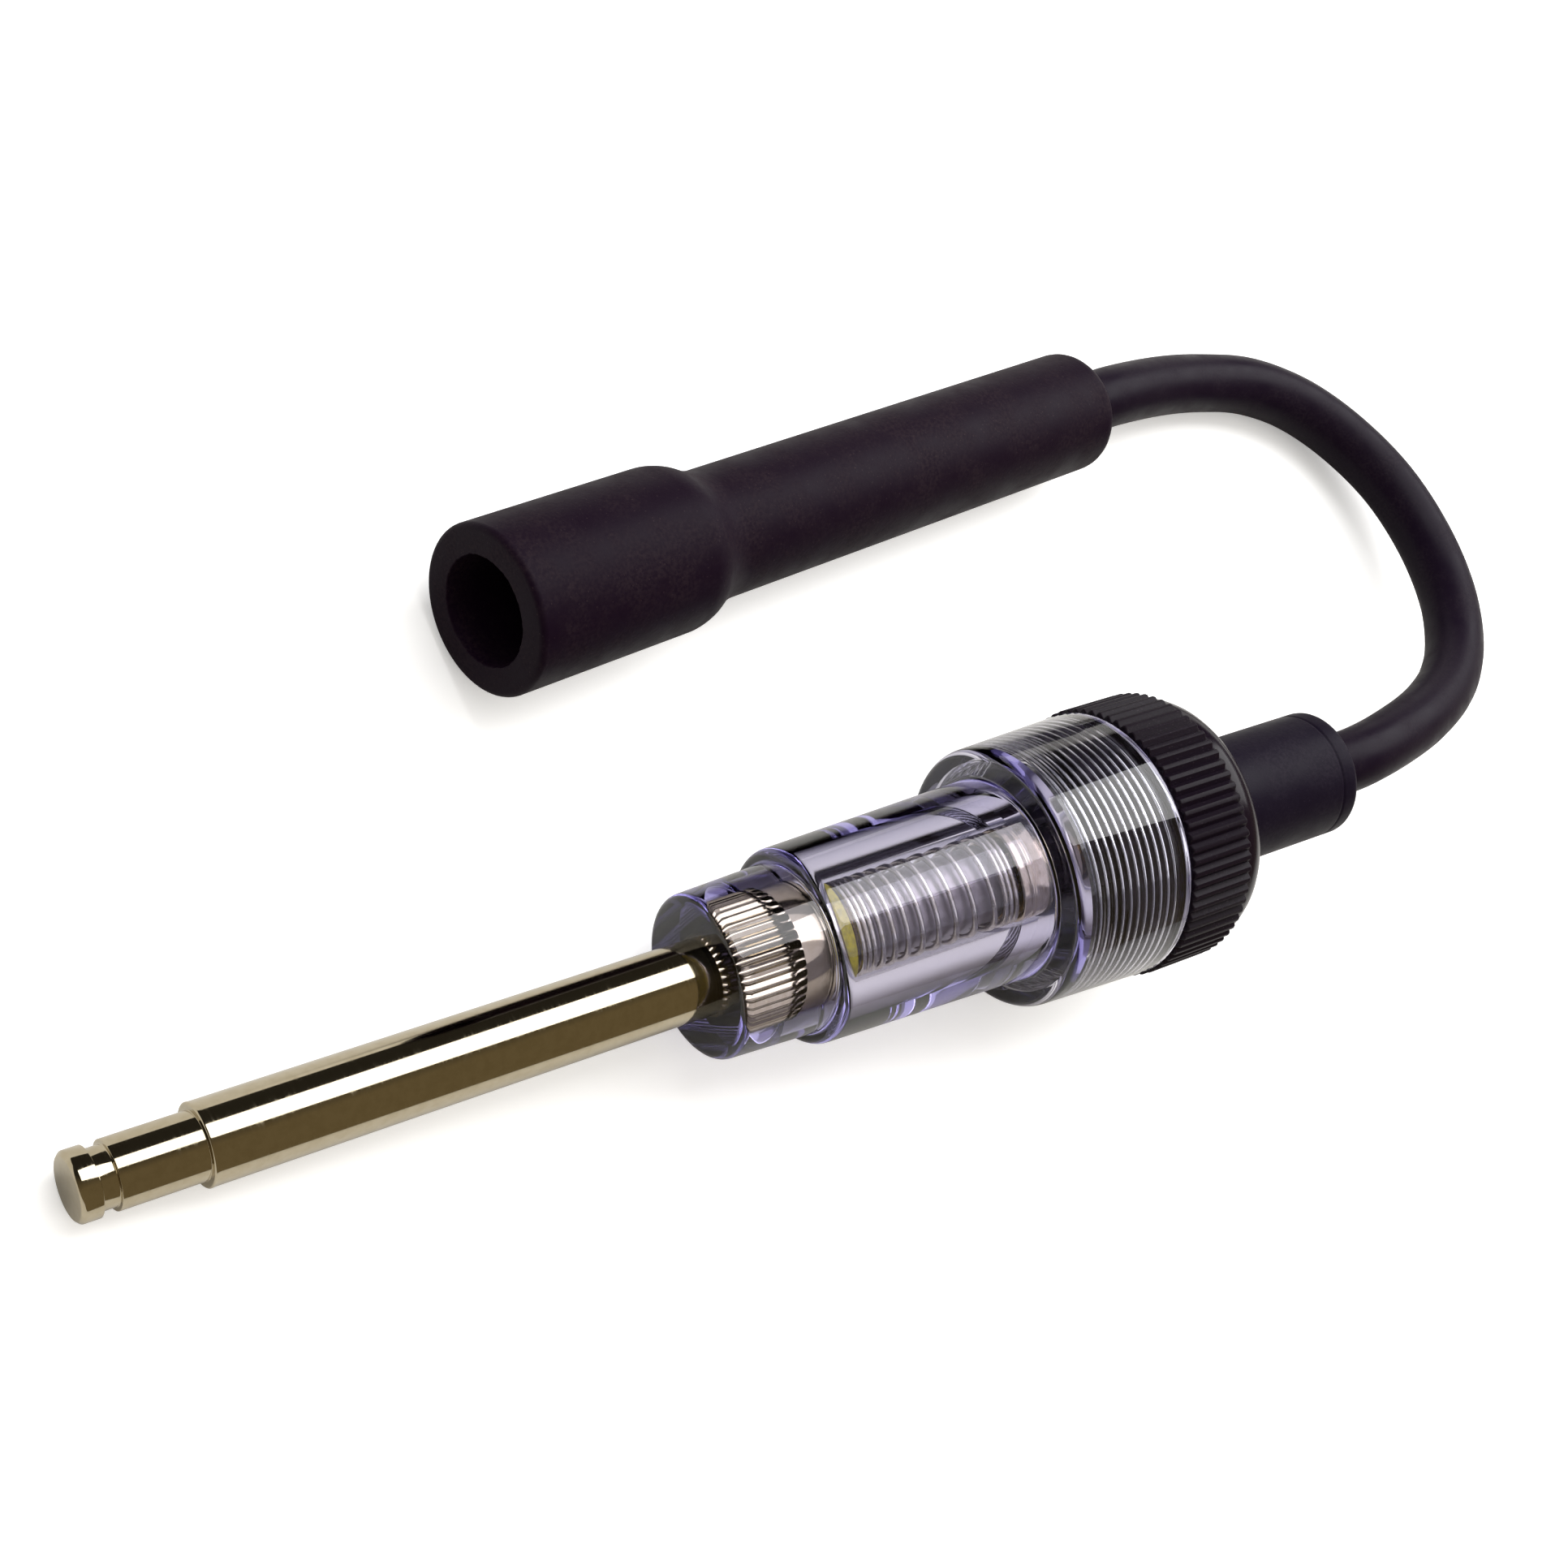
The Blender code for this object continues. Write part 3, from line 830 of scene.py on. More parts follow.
@dataclass(frozen=True)
class FibreFinish:
    """Pressed yellow fibre board.

    Args:
        name: the finish's name.
        colour: the board.
        strand: its darker strands.
    """

    name: str
    colour: Colour
    strand: Colour

    def material(self, axle: Axle | None) -> bpy.types.Material:
        """Build the material for pieces on an axle.

        Args:
            axle: the line that its patterns follow, or None for the world's.

        Returns:
            The material.
        """
        paint = Paint(self.name, axle)
        graph = paint.graph
        strands = paint.effect(EFFECTS.grain(), Scale=1600.0)
        rings = paint.effect(EFFECTS.turning(), Density=2500.0)
        share = graph.math("MULTIPLY", strands.outputs["Mask"], 0.7)
        paint.set(Base_Color=graph.mix(share, self.colour, self.strand), Roughness=0.5)
        height = graph.math("ADD", strands.outputs["Height"], rings.outputs["Height"])
        paint.bump(height, 0.01)
        return paint.material


NICKEL = MetalFinish("nickel", (0.50, 0.44, 0.32), (0.46, 0.40, 0.28), 0.07, 0.16)
WIRE = MetalFinish("spring_wire", (0.62, 0.59, 0.52), (0.45, 0.41, 0.33), 0.16, 0.32)
CUP_NICKEL = MetalFinish("cup_nickel", (0.66, 0.58, 0.44), (0.5, 0.42, 0.3), 0.14, 0.3)
BRASS = MetalFinish("brass", (0.62, 0.45, 0.22), (0.42, 0.28, 0.12), 0.2, 0.4)
STEEL = MetalFinish("stamped_steel", (0.5, 0.49, 0.47), (0.36, 0.34, 0.31), 0.22, 0.45)
COPPER = MetalFinish("copper", (0.7, 0.33, 0.18), (0.45, 0.18, 0.1), 0.25, 0.5)
CLEAR = ClearFinish("clear_plastic", (0.97, 0.97, 0.99), (0.08, 0.0, 0.5), 34.0, 1.53)
FIBRE = FibreFinish("yellow_fibre", (0.48, 0.40, 0.01), (0.22, 0.19, 0.01))
LAMP = LampFinish("lamp_tube", (0.30, 0.27, 0.27), (0.24, 0.21, 0.21))
CAP_PLASTIC = CapFinish(
    "cap_plastic", (0.005, 0.002, 0.006), (0.03, 0.022, 0.03), 0.42, 0.14, 124.4
)
SLEEVE_RUBBER = RubberFinish(
    "sleeve_rubber", (0.006, 0.0035, 0.010), (0.018, 0.013, 0.022), 0.42, 0.55
)
BOOT_RUBBER = RubberFinish(
    "boot_rubber", (0.006, 0.0016, 0.007), (0.022, 0.013, 0.017), 0.48, 0.62, specks=0.2
)
JACKET = RubberFinish(
    "lead_jacket",
    (0.0065, 0.003, 0.009),
    (0.018, 0.012, 0.018),
    0.36,
    0.5,
    grain=3000.0,
    relief=0.008,
    specks=0.1,
)


# ---------------------------------------------------------------- the tester's pieces


@dataclass(frozen=True)
class Probe:
    """Turned and plated rod: grooved tip, neck, knurled shank and contact boss."""

    tip: float = 3.28
    chamfer: float = 0.35
    groove: float = 2.8
    groove_start: float = 2.0
    groove_end: float = 3.6
    neck: float = 3.23
    neck_end: float = 11.7
    rod: float = 3.9
    knurl: float = 4.15
    knurls: int = 32
    knurl_start: float = 65.4
    knurl_end: float = 73.2
    end: float = 76.9
    boss: float = 2.2
    boss_end: float = 78.7
    columns_per_knurl: int = 8

    def ridge(self, part: float, station: float) -> float:
        """How far the knurls stand out.

        Args:
            part: the angle, in turns.
            station: the station, in mm.

        Returns:
            The rise in mm.
        """
        wave = 0.5 + 0.5 * math.cos(math.tau * part * self.knurls)
        ends = min(station - self.knurl_start, self.knurl_end - station) / 0.4
        return (self.knurl - self.rod) * wave**0.7 * min(max(ends, 0), 1)

    def build(self, axle: Axle) -> bpy.types.Object:
        """Make the rod on its axle.

        Args:
            axle: the tester's axle.

        Returns:
            The rod.
        """
        corners = [
            Corner(0, self.boss_end),
            Corner(self.boss, self.boss_end, 0.15),
            Corner(self.boss, self.end),
            Corner(self.rod, self.end, 0.2),
            Corner(self.rod, self.knurl_end + 0.1),
            Corner(self.rod, self.knurl_end),
            Corner(self.rod, self.knurl_end - 0.4, cuts=3),
            Corner(self.rod, self.knurl_start + 0.4),
            Corner(self.rod, self.knurl_start),
            Corner(self.rod, self.knurl_start - 0.1),
            Corner(self.rod, self.neck_end + 0.5),
            Corner(self.rod + 0.04, self.neck_end + 0.12, 0.06),
            Corner(self.rod - 0.1, self.neck_end, 0.05),
            Corner(self.neck, self.neck_end, 0.05),
            Corner(self.neck, self.groove_end, 0.08),
            Corner(self.groove, self.groove_end, 0.12),
            Corner(self.groove, self.groove_start, 0.12),
            Corner(self.tip, self.groove_start, 0.1),
            Corner(self.tip, self.chamfer, 0.12),
            Corner(self.tip - self.chamfer, 0, 0.1),
            Corner(0, 0),
        ]
        shape = Turned(corners, self.knurls * self.columns_per_knurl, False, 3).shape()
        band = (self.knurl_start - 0.01, self.knurl_end + 0.01, self.rod - 0.01, self.rod + 0.01)
        push_radially(shape, *band, self.ridge)
        piece = place_piece(shape, "probe", axle, NICKEL.material(axle), 35)
        return settle(piece, Body.TESTER, Slot.NICKEL, "probe_rod")


@dataclass(frozen=True)
class Housing:
    """Clear housing: nose, middle and threaded cup, moulded round the probe's shank."""

    nose_front: float = 63.9
    middle_front: float = 74.8
    cup_front: float = 101.1
    cup_rear: float = 116.0
    nose: tuple[float, float] = (8.38, 8.8)
    middle: tuple[float, float] = (10.1, 10.84)
    cup: tuple[float, float] = (13.95, 14.5)
    edge: float = 0.9
    fillet: float = 0.45
    shank_bore: float = 3.8
    lamp_bore: float = 5.4
    lamp_bore_start: float = 77.2
    thread_root: float = 12.35
    thread_start: float = 103.6
    thread_end: float = 115.3
    thread_mouth: float = 12.75
    cuts_per_pitch: int = 16
    thread: Thread = Thread(1.0, -0.4, 0.0, 104.6, 115.0)

    def build(self, axle: Axle) -> bpy.types.Object:
        """Make the housing on its axle.

        Args:
            axle: the tester's axle.

        Returns:
            The housing.
        """
        cuts = round((self.thread_end - self.thread_start) / self.thread.pitch)
        corners = [
            Corner(self.cup[1], self.cup_rear, 0.3),
            Corner(self.cup[0], self.cup_front, self.edge),
            Corner(self.middle[1], self.cup_front, self.fillet),
            Corner(self.middle[0], self.middle_front, self.edge),
            Corner(self.nose[1], self.middle_front, self.fillet),
            Corner(self.nose[0], self.nose_front, self.edge),
            Corner(self.shank_bore, self.nose_front),
            Corner(self.shank_bore, self.lamp_bore_start),
            Corner(self.lamp_bore, self.lamp_bore_start, 0.15),
            Corner(self.lamp_bore, self.thread_start, 0.25),
            Corner(self.thread_root, self.thread_start, cuts=cuts * self.cuts_per_pitch),
            Corner(self.thread_root, self.thread_end),
            Corner(self.thread_mouth, self.cup_rear, 0.1),
        ]
        shape = Turned(corners, 160).shape()
        band = (self.thread_start, self.thread_end)
        root = (self.thread_root - 0.01, self.thread_root + 0.01)
        push_radially(shape, *band, *root, self.thread.rise)
        piece = place_piece(shape, "housing", axle, CLEAR.material(axle), 50)
        return settle(piece, Body.TESTER, Slot.CLEAR, "clear_barrel")


@dataclass(frozen=True)
class SeatRing:
    """Yellow fibre ring between the probe's end and the spring."""

    outer: float = 5.1
    bore: float = 2.5
    front: float = 77.5
    rear: float = 78.7

    def build(self, axle: Axle) -> bpy.types.Object:
        """Make the ring on its axle.

        Args:
            axle: the tester's axle.

        Returns:
            The ring.
        """
        corners = [
            Corner(self.outer, self.rear, 0.15),
            Corner(self.outer, self.front, 0.15),
            Corner(self.bore, self.front, 0.1),
            Corner(self.bore, self.rear, 0.1),
        ]
        piece = place_piece(Turned(corners).shape(), "seat_ring", axle, FIBRE.material(axle))
        return settle(piece, Body.TESTER, Slot.FIBRE, "insulating_ring")


@dataclass(frozen=True)
class Spring:
    """Compression spring with closed ends, whose open turns widen towards the rear."""

    wire: float = 0.27
    radius: float = 4.73
    front: float = 79.27
    closed_turns: int = 3
    open_turns: int = 8
    closed_pitch: float = 0.66
    open_length: float = 16.0
    even_share: float = 0.62
    steps_per_turn: int = 40

    def pitches(self) -> list[float]:
        """The rise of each turn.

        Returns:
            The rises from the front to the rear, in mm.
        """
        closed = [self.closed_pitch] * self.closed_turns

        def reached(turns: int) -> float:
            """The open length used up after some of the open turns."""
            part = turns / self.open_turns
            return self.open_length * (self.even_share * part + (1 - self.even_share) * part**2)

        opened = [reached(i + 1) - reached(i) for i in range(self.open_turns)]
        return [*closed, *opened, *closed]

    def build(self, axle: Axle) -> bpy.types.Object:
        """Wind the spring turn by turn about its axle.

        Args:
            axle: the tester's axle.

        Returns:
            The spring.
        """
        shape = bmesh.new()
        bmesh.ops.create_circle(shape, radius=self.wire * MM, segments=12)
        upright = Matrix.Rotation(math.radians(90), 4, "X")
        place = Matrix.Translation((self.radius * MM, 0, self.front * MM))
        bmesh.ops.transform(shape, matrix=place @ upright, verts=shape.verts[:])
        last: list = shape.verts[:] + shape.edges[:]
        first_edges = shape.edges[:]
        for rise in self.pitches():
            wound = bmesh.ops.spin(
                shape,
                geom=last,
                cent=(0, 0, 0),
                axis=(0, 0, 1),
                dvec=(0, 0, rise * MM / self.steps_per_turn),
                angle=math.tau,
                steps=self.steps_per_turn,
                use_merge=False,
                use_duplicate=False,
            )
            last = wound["geom_last"]
        last_edges = [part for part in last if isinstance(part, bmesh.types.BMEdge)]
        bmesh.ops.holes_fill(shape, edges=first_edges + last_edges, sides=0)
        bmesh.ops.remove_doubles(shape, verts=shape.verts[:], dist=WELD)
        bmesh.ops.recalc_face_normals(shape, faces=shape.faces[:])
        piece = place_piece(shape, "spring", axle, WIRE.material(axle))
        rear = self.front + sum(self.pitches())
        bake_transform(piece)
        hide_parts("contact_spring")
        LOG.info("%s between tester and lead_set, %d faces", piece.name, len(piece.data.polygons))
        return piece


@dataclass(frozen=True)
class Lamp:
    """Tubular lamp inside the spring: a coated tube and two brass ends."""

    radius: float = 4.1
    bore: float = 3.5
    front: float = 79.0
    tube_front: float = 80.1
    tube_rear: float = 98.0
    cap: float = 0.8
    gap: float = 0.3
    plug: float = 3.2
    plug_length: float = 1.5
    nipple: float = 1.5
    nipple_length: float = 2.8

    def tube(self, axle: Axle) -> bpy.types.Object:
        """Make the lamp's tube.

        Args:
            axle: the tester's axle.

        Returns:
            The tube.
        """
        corners = [
            Corner(self.radius, self.tube_rear, 0.25),
            Corner(self.radius, self.tube_front, 0.25),
            Corner(self.bore, self.tube_front),
            Corner(self.bore, self.tube_rear),
        ]
        piece = place_piece(Turned(corners).shape(), "lamp_tube", axle, LAMP.material(axle))
        return settle(piece, Body.TESTER, Slot.LAMP, "lamp_glass")

    def front_end(self, axle: Axle, look: bpy.types.Material) -> bpy.types.Object:
        """Make the lamp's front end.

        Args:
            axle: the tester's axle.
            look: its brass.

        Returns:
            The front end.
        """
        corners = [
            Corner(0, self.tube_front + self.plug_length),
            Corner(self.plug, self.tube_front + self.plug_length, 0.1),
            Corner(self.plug, self.tube_front - self.gap),
            Corner(self.radius, self.tube_front - self.gap, 0.12),
            Corner(self.radius, self.front, 0.25),
            Corner(0, self.front),
        ]
        shape = Turned(corners, 64, False).shape()
        piece = place_piece(shape, "lamp_front_end", axle, look)
        return settle(piece, Body.TESTER, Slot.BRASS, "lamp_cap_front")

    def rear_end(self, axle: Axle, look: bpy.types.Material) -> bpy.types.Object:
        """Make the lamp's rear end with its contact nipple.

        Args:
            axle: the tester's axle.
            look: its brass.

        Returns:
            The rear end.
        """
        start = self.tube_rear + self.gap
        end = start + self.cap
        corners = [
            Corner(0, end + self.nipple_length),
            Corner(self.nipple, end + self.nipple_length, 0.5),
            Corner(self.nipple, end, 0.2),
            Corner(self.radius, end, 0.25),
            Corner(self.radius, start, 0.12),
            Corner(self.plug, start),
            Corner(self.plug, self.tube_rear - self.plug_length, 0.1),
            Corner(0, self.tube_rear - self.plug_length),
        ]
        shape = Turned(corners, 64, False).shape()
        piece = place_piece(shape, "lamp_rear_end", axle, look)
        return settle(piece, Body.TESTER, Slot.BRASS, "lamp_cap_rear")

    def build(self, axle: Axle) -> None:
        """Make the lamp's tube and both ends.

        Args:
            axle: the tester's axle.
        """
        look = BRASS.material(axle)
        self.tube(axle)
        self.front_end(axle, look)
        self.rear_end(axle, look)


@dataclass(frozen=True)
class TerminalCup:
    """Plated cup that seats the spring's rear end."""

    radius: float = 5.05
    bore: float = 4.42
    front: float = 99.9
    rear: float = 104.9
    floor: float = 103.7
    hole: float = 1.3
    bead: float = 0.12

    def build(self, axle: Axle) -> bpy.types.Object:
        """Make the cup on its axle.

        Args:
            axle: the tester's axle.

        Returns:
            The cup.
        """
        corners = [
            Corner(self.radius, self.rear, 0.4),
            Corner(self.radius, self.front + 1.5, 0.1),
            Corner(self.radius - self.bead, self.front + 1.35, 0.1),
            Corner(self.radius - self.bead, self.front + 1.0, 0.1),
            Corner(self.radius, self.front + 0.85, 0.1),
            Corner(self.radius, self.front, 0.15),
            Corner(self.bore, self.front, 0.1),
            Corner(self.bore, self.floor, 0.2),
            Corner(self.hole, self.floor, 0.05),
            Corner(self.hole, self.rear, 0.05),
        ]
        shape = Turned(corners, 80).shape()
        piece = place_piece(shape, "spring_cup", axle, CUP_NICKEL.material(axle))
        return settle(piece, Body.LEAD_SET, Slot.NICKEL, "terminal_cup")


@dataclass(frozen=True)
class Cap:
    """Black cap with a threaded spigot, a ribbed band and a polished dome."""

    spigot_front: float = 109.2
    spigot_root: float = 11.45
    bore: float = 9.3
    rib_front: float = 116.3
    rib_rear: float = 124.3
    ribs: int = 70
    rib: float = 14.8
    rib_depth: float = 0.5
    dome: float = 14.1
    rear: float = 128.6
    floor: float = 125.0
    hole: float = 7.15
    columns_per_rib: int = 6
    cuts_per_pitch: int = 14
    thread: Thread = Thread(1.0, 0.7, 0.5, 110.2, 115.4)

    def groove(self, part: float, station: float) -> float:
        """How far the band is cut in at an angle, in mm."""
        wave = 0.5 - 0.5 * math.cos(math.tau * part * self.ribs)
        return -self.rib_depth * wave**2

    def build(self, axle: Axle) -> bpy.types.Object:
        """Make the cap on its axle.

        Args:
            axle: the tester's axle.

        Returns:
            The cap.
        """
        pitches = round((self.rib_front - self.spigot_front) / self.thread.pitch)
        corners = [
            Corner(self.hole, self.rear, 0.2),
            Corner(self.dome, self.rear, 4.2),
            Corner(self.dome, self.rib_rear, 0.1),
            Corner(self.rib, self.rib_rear, 0.2),
            Corner(self.rib, self.rib_front, 0.2),
            Corner(self.spigot_root, self.rib_front, cuts=pitches * self.cuts_per_pitch),
            Corner(self.spigot_root, self.spigot_front, 0.3),
            Corner(self.bore, self.spigot_front, 0.3),
            Corner(self.bore, self.floor),
            Corner(self.hole, self.floor),
        ]
        shape = Turned(corners, self.ribs * self.columns_per_rib, segments=8).shape()
        band = (self.rib_front - 0.01, self.rib_rear + 0.01, (self.dome + self.rib) / 2, 20.0)
        push_radially(shape, *band, self.groove)
        root = (self.spigot_root - 0.01, self.spigot_root + 0.01)
        push_radially(shape, self.spigot_front, self.rib_front - 0.01, *root, self.thread.rise)
        piece = place_piece(shape, "cap", axle, CAP_PLASTIC.material(axle), 38)
        return settle(piece, Body.CAP, Slot.CAP, "screw_cap")


@dataclass(frozen=True)
class Sleeve:
    """Rubber sleeve that leaves the cap round the lead."""

    radius: float = 7.05
    bore: float = 3.63
    front: float = 110.3
    rear: float = 148.8
    flange: float = 8.9
    flange_front: float = 121.9
    flange_rear: float = 124.7
    line: float = 146.3
    line_depth: float = 0.12

    def build(self, axle: Axle) -> bpy.types.Object:
        """Make the sleeve on its axle.

        Args:
            axle: the tester's axle.

        Returns:
            The sleeve.
        """
        corners = [
            Corner(self.radius, self.rear, 0.9),
            Corner(self.radius, self.line + 0.25, 0.1),
            Corner(self.radius - self.line_depth, self.line, 0.1),
            Corner(self.radius, self.line - 0.25, 0.1),
            Corner(self.radius, self.flange_rear),
            Corner(self.flange, self.flange_rear, 0.3),
            Corner(self.flange, self.flange_front, 0.3),
            Corner(self.radius, self.flange_front),
            Corner(self.radius, self.front, 0.4),
            Corner(self.bore, self.front, 0.2),
            Corner(self.bore, self.rear, 0.35),
        ]
        piece = place_piece(Turned(corners).shape(), "sleeve", axle, SLEEVE_RUBBER.material(axle))
        return settle(piece, Body.LEAD_SET, Slot.RUBBER, "strain_relief_sleeve")


# ---------------------------------------------------------------- the lead and its boot


@dataclass(frozen=True)
class Boot:
    """Rubber plug boot: a wide collar with a lipped mouth, and a long stem over the lead."""

    length: float = 89.5
    collar: float = 8.75
    collar_length: float = 24.3
    taper: float = 3.8
    stem: float = 6.9
    stem_edge: float = 2.2
    bore: float = 5.65
    inner_bore: float = 4.9
    inner_end: float = 50.0
    lead_bore: float = 3.63
    waver: float = 0.02
    waves: tuple[tuple[int, float], ...] = ((7, 0.3), (13, 1.9), (29, 4.1), (43, 2.6))

    def ragged(self, part: float, station: float) -> float:
        """How far the trimmed edge of the bore wavers at an angle, in mm."""
        return self.waver * sum(math.sin(math.tau * part * n + phase) for n, phase in self.waves)

    def build(self, axle: Axle) -> bpy.types.Object:
        """Make the boot on its axle.

        Args:
            axle: the boot's axle.

        Returns:
            The boot.
        """
        shoulder = self.collar_length + self.taper
        corners = [
            Corner(self.stem, self.length, self.stem_edge),
            Corner(self.stem, shoulder, 1.6),
            Corner(self.collar, self.collar_length, 1.4),
            Corner(self.collar, 0, 0.7),
            Corner(self.bore, 0, 0.12),
            Corner(self.bore, self.collar_length, 0.5),
            Corner(self.inner_bore, shoulder, 0.5),
            Corner(self.inner_bore, self.inner_end),
            Corner(self.lead_bore, self.inner_end),
            Corner(self.lead_bore, self.length, 0.5),
        ]
        shape = Turned(corners, 128, segments=7).shape()
        push_radially(shape, -0.01, 0.3, self.bore - 0.2, self.bore + 0.2, self.ragged)
        piece = place_piece(shape, "boot", axle, BOOT_RUBBER.material(axle))
        return settle(piece, Body.BOOT, Slot.RUBBER, "plug_boot")


@dataclass(frozen=True)
class BootTerminal:
    """Push-on terminal inside the boot: a socket in front, a crimp barrel behind."""

    radius: float = 4.6
    front: float = 20.0
    rear: float = 48.0
    socket: float = 3.4
    socket_end: float = 31.0
    web_end: float = 32.5
    crimp: float = 3.9
    groove: float = 4.1
    groove_front: float = 23.2
    groove_rear: float = 24.6

    def build(self, axle: Axle) -> bpy.types.Object:
        """Make the terminal on the boot's axle.

        Args:
            axle: the boot's axle.

        Returns:
            The terminal.
        """
        corners = [
            Corner(0, self.web_end),
            Corner(self.crimp, self.web_end),
            Corner(self.crimp, self.rear, 0.1),
            Corner(self.radius, self.rear, 0.1),
            Corner(self.radius, self.groove_rear, 0.08),
            Corner(self.groove, self.groove_rear),
            Corner(self.groove, self.groove_front),
            Corner(self.radius, self.groove_front, 0.08),
            Corner(self.radius, self.front, 0.3),
            Corner(self.socket, self.front, 0.4),
            Corner(self.socket, self.socket_end),
            Corner(0, self.socket_end),
        ]
        shape = Turned(corners, 72, False).shape()
        piece = place_piece(shape, "snap_terminal", axle, STEEL.material(axle))
        return settle(piece, Body.LEAD_SET, Slot.STEEL, "boot_terminal")


@dataclass(frozen=True)
class Lead:
    """Ignition lead from the sleeve's end down to the surface and round to the boot.

    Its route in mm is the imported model's own, between a straight run at each end.
    """

    radius: float = 3.6
    straight: float = 7.0
    samples: int = 6
    sleeve_end: float = 148.8
    boot_end: float = 89.5
    route: tuple[tuple[float, float, float], ...] = (
        (89.6, 1.0, 18.8),
        (98.2, 2.6, 17.3),
        (106.5, 5.3, 15.2),
        (113.5, 9.7, 12.7),
        (118.6, 16.0, 10.2),
        (121.1, 23.8, 7.8),
        (120.5, 32.0, 5.9),
        (116.8, 39.3, 4.5),
        (110.8, 45.1, 3.8),
        (103.1, 48.7, 3.7),
        (94.7, 50.2, 3.8),
        (86.0, 50.5, 4.9),
    )

    @staticmethod
    def between(marks: Sequence[Vector], part: float) -> Vector:
        """A point on the smooth curve through four marks.

        Args:
            marks: the mark before, the two that the point is between, and the one after.
            part: how far it is from the second mark to the third, 0 to 1.

        Returns:
            The point.
        """
        before, start, end, after = marks
        square = part * part
        return 0.5 * (
            2 * start
            + (end - before) * part
            + (2 * before - 5 * start + 4 * end - after) * square
            + (3 * start - before - 3 * end + after) * square * part
        )

    def path(self, tester: Axle, boot: Axle) -> list[Vector]:
        """The lead's middle line.

        Args:
            tester: the tester's axle.
            boot: the boot's axle.

        Returns:
            Points from the sleeve's end to the boot's rear, in metres.
        """
        start, end = tester.point(self.sleeve_end), boot.point(self.boot_end)
        marks = [
            start - tester.direction * self.straight * MM,
            start,
            start + tester.direction * self.straight * MM,
            *(Vector(spot) * MM for spot in self.route),
            end + boot.direction * self.straight * MM,
            end,
            end - boot.direction * self.straight * MM,
        ]
        points = [
            self.between(marks[i : i + 4], step / self.samples)
            for i in range(len(marks) - 3)
            for step in range(self.samples)
        ]
        return [*points, end]

    def build(self, tester: Axle, boot: Axle) -> bpy.types.Object:
        """Lay the lead along its path.

        Args:
            tester: the tester's axle.
            boot: the boot's axle.

        Returns:
            The lead, a curve of one open spline.
        """
        points = self.path(tester, boot)
        curve = bpy.data.curves.new("lead", "CURVE")
        curve.dimensions = "3D"
        curve.bevel_depth = self.radius * MM
        curve.bevel_resolution = 10
        curve.use_fill_caps = True
        spline = curve.splines.new("POLY")
        spline.points.add(len(points) - 1)
        for spot, point in zip(spline.points, points):
            spot.co = (*point, 1)
        spline.use_smooth = True
        curve.materials.append(JACKET.material(None))
        piece = bpy.data.objects.new("lead", curve)
        bpy.context.scene.collection.objects.link(piece)
        return settle(piece, Body.LEAD_SET, Slot.JACKET, "ht_lead")


# ---------------------------------------------------------------- inner nodes, stage and main


def dress_inner_nodes(tester: Axle, boot: Axle) -> None:
    """Give the CAD nodes that stay inside the pieces their own finishes.

    Args:
        tester: the tester's axle.
        boot: the boot's axle.
    """
    looks = {
        "lamp_electrode_front": (STEEL, tester),
        "lamp_electrode_rear": (STEEL, tester),
        "terminal_screw": (BRASS, tester),
        "lead_end_in_sleeve": (JACKET, tester),
        "lead_conductor_in_sleeve": (COPPER, tester),
        "lead_end_in_boot": (JACKET, boot),
        "lead_conductor_in_boot": (COPPER, boot),
        "boot_terminal_clip": (WIRE, boot),
    }
    for name, (finish, axle) in looks.items():
        node = frame["nodes"][name]
        node.data.materials.clear()
        node.data.materials.append(finish.material(axle))
        LOG.info("%s keeps its CAD shape", name)


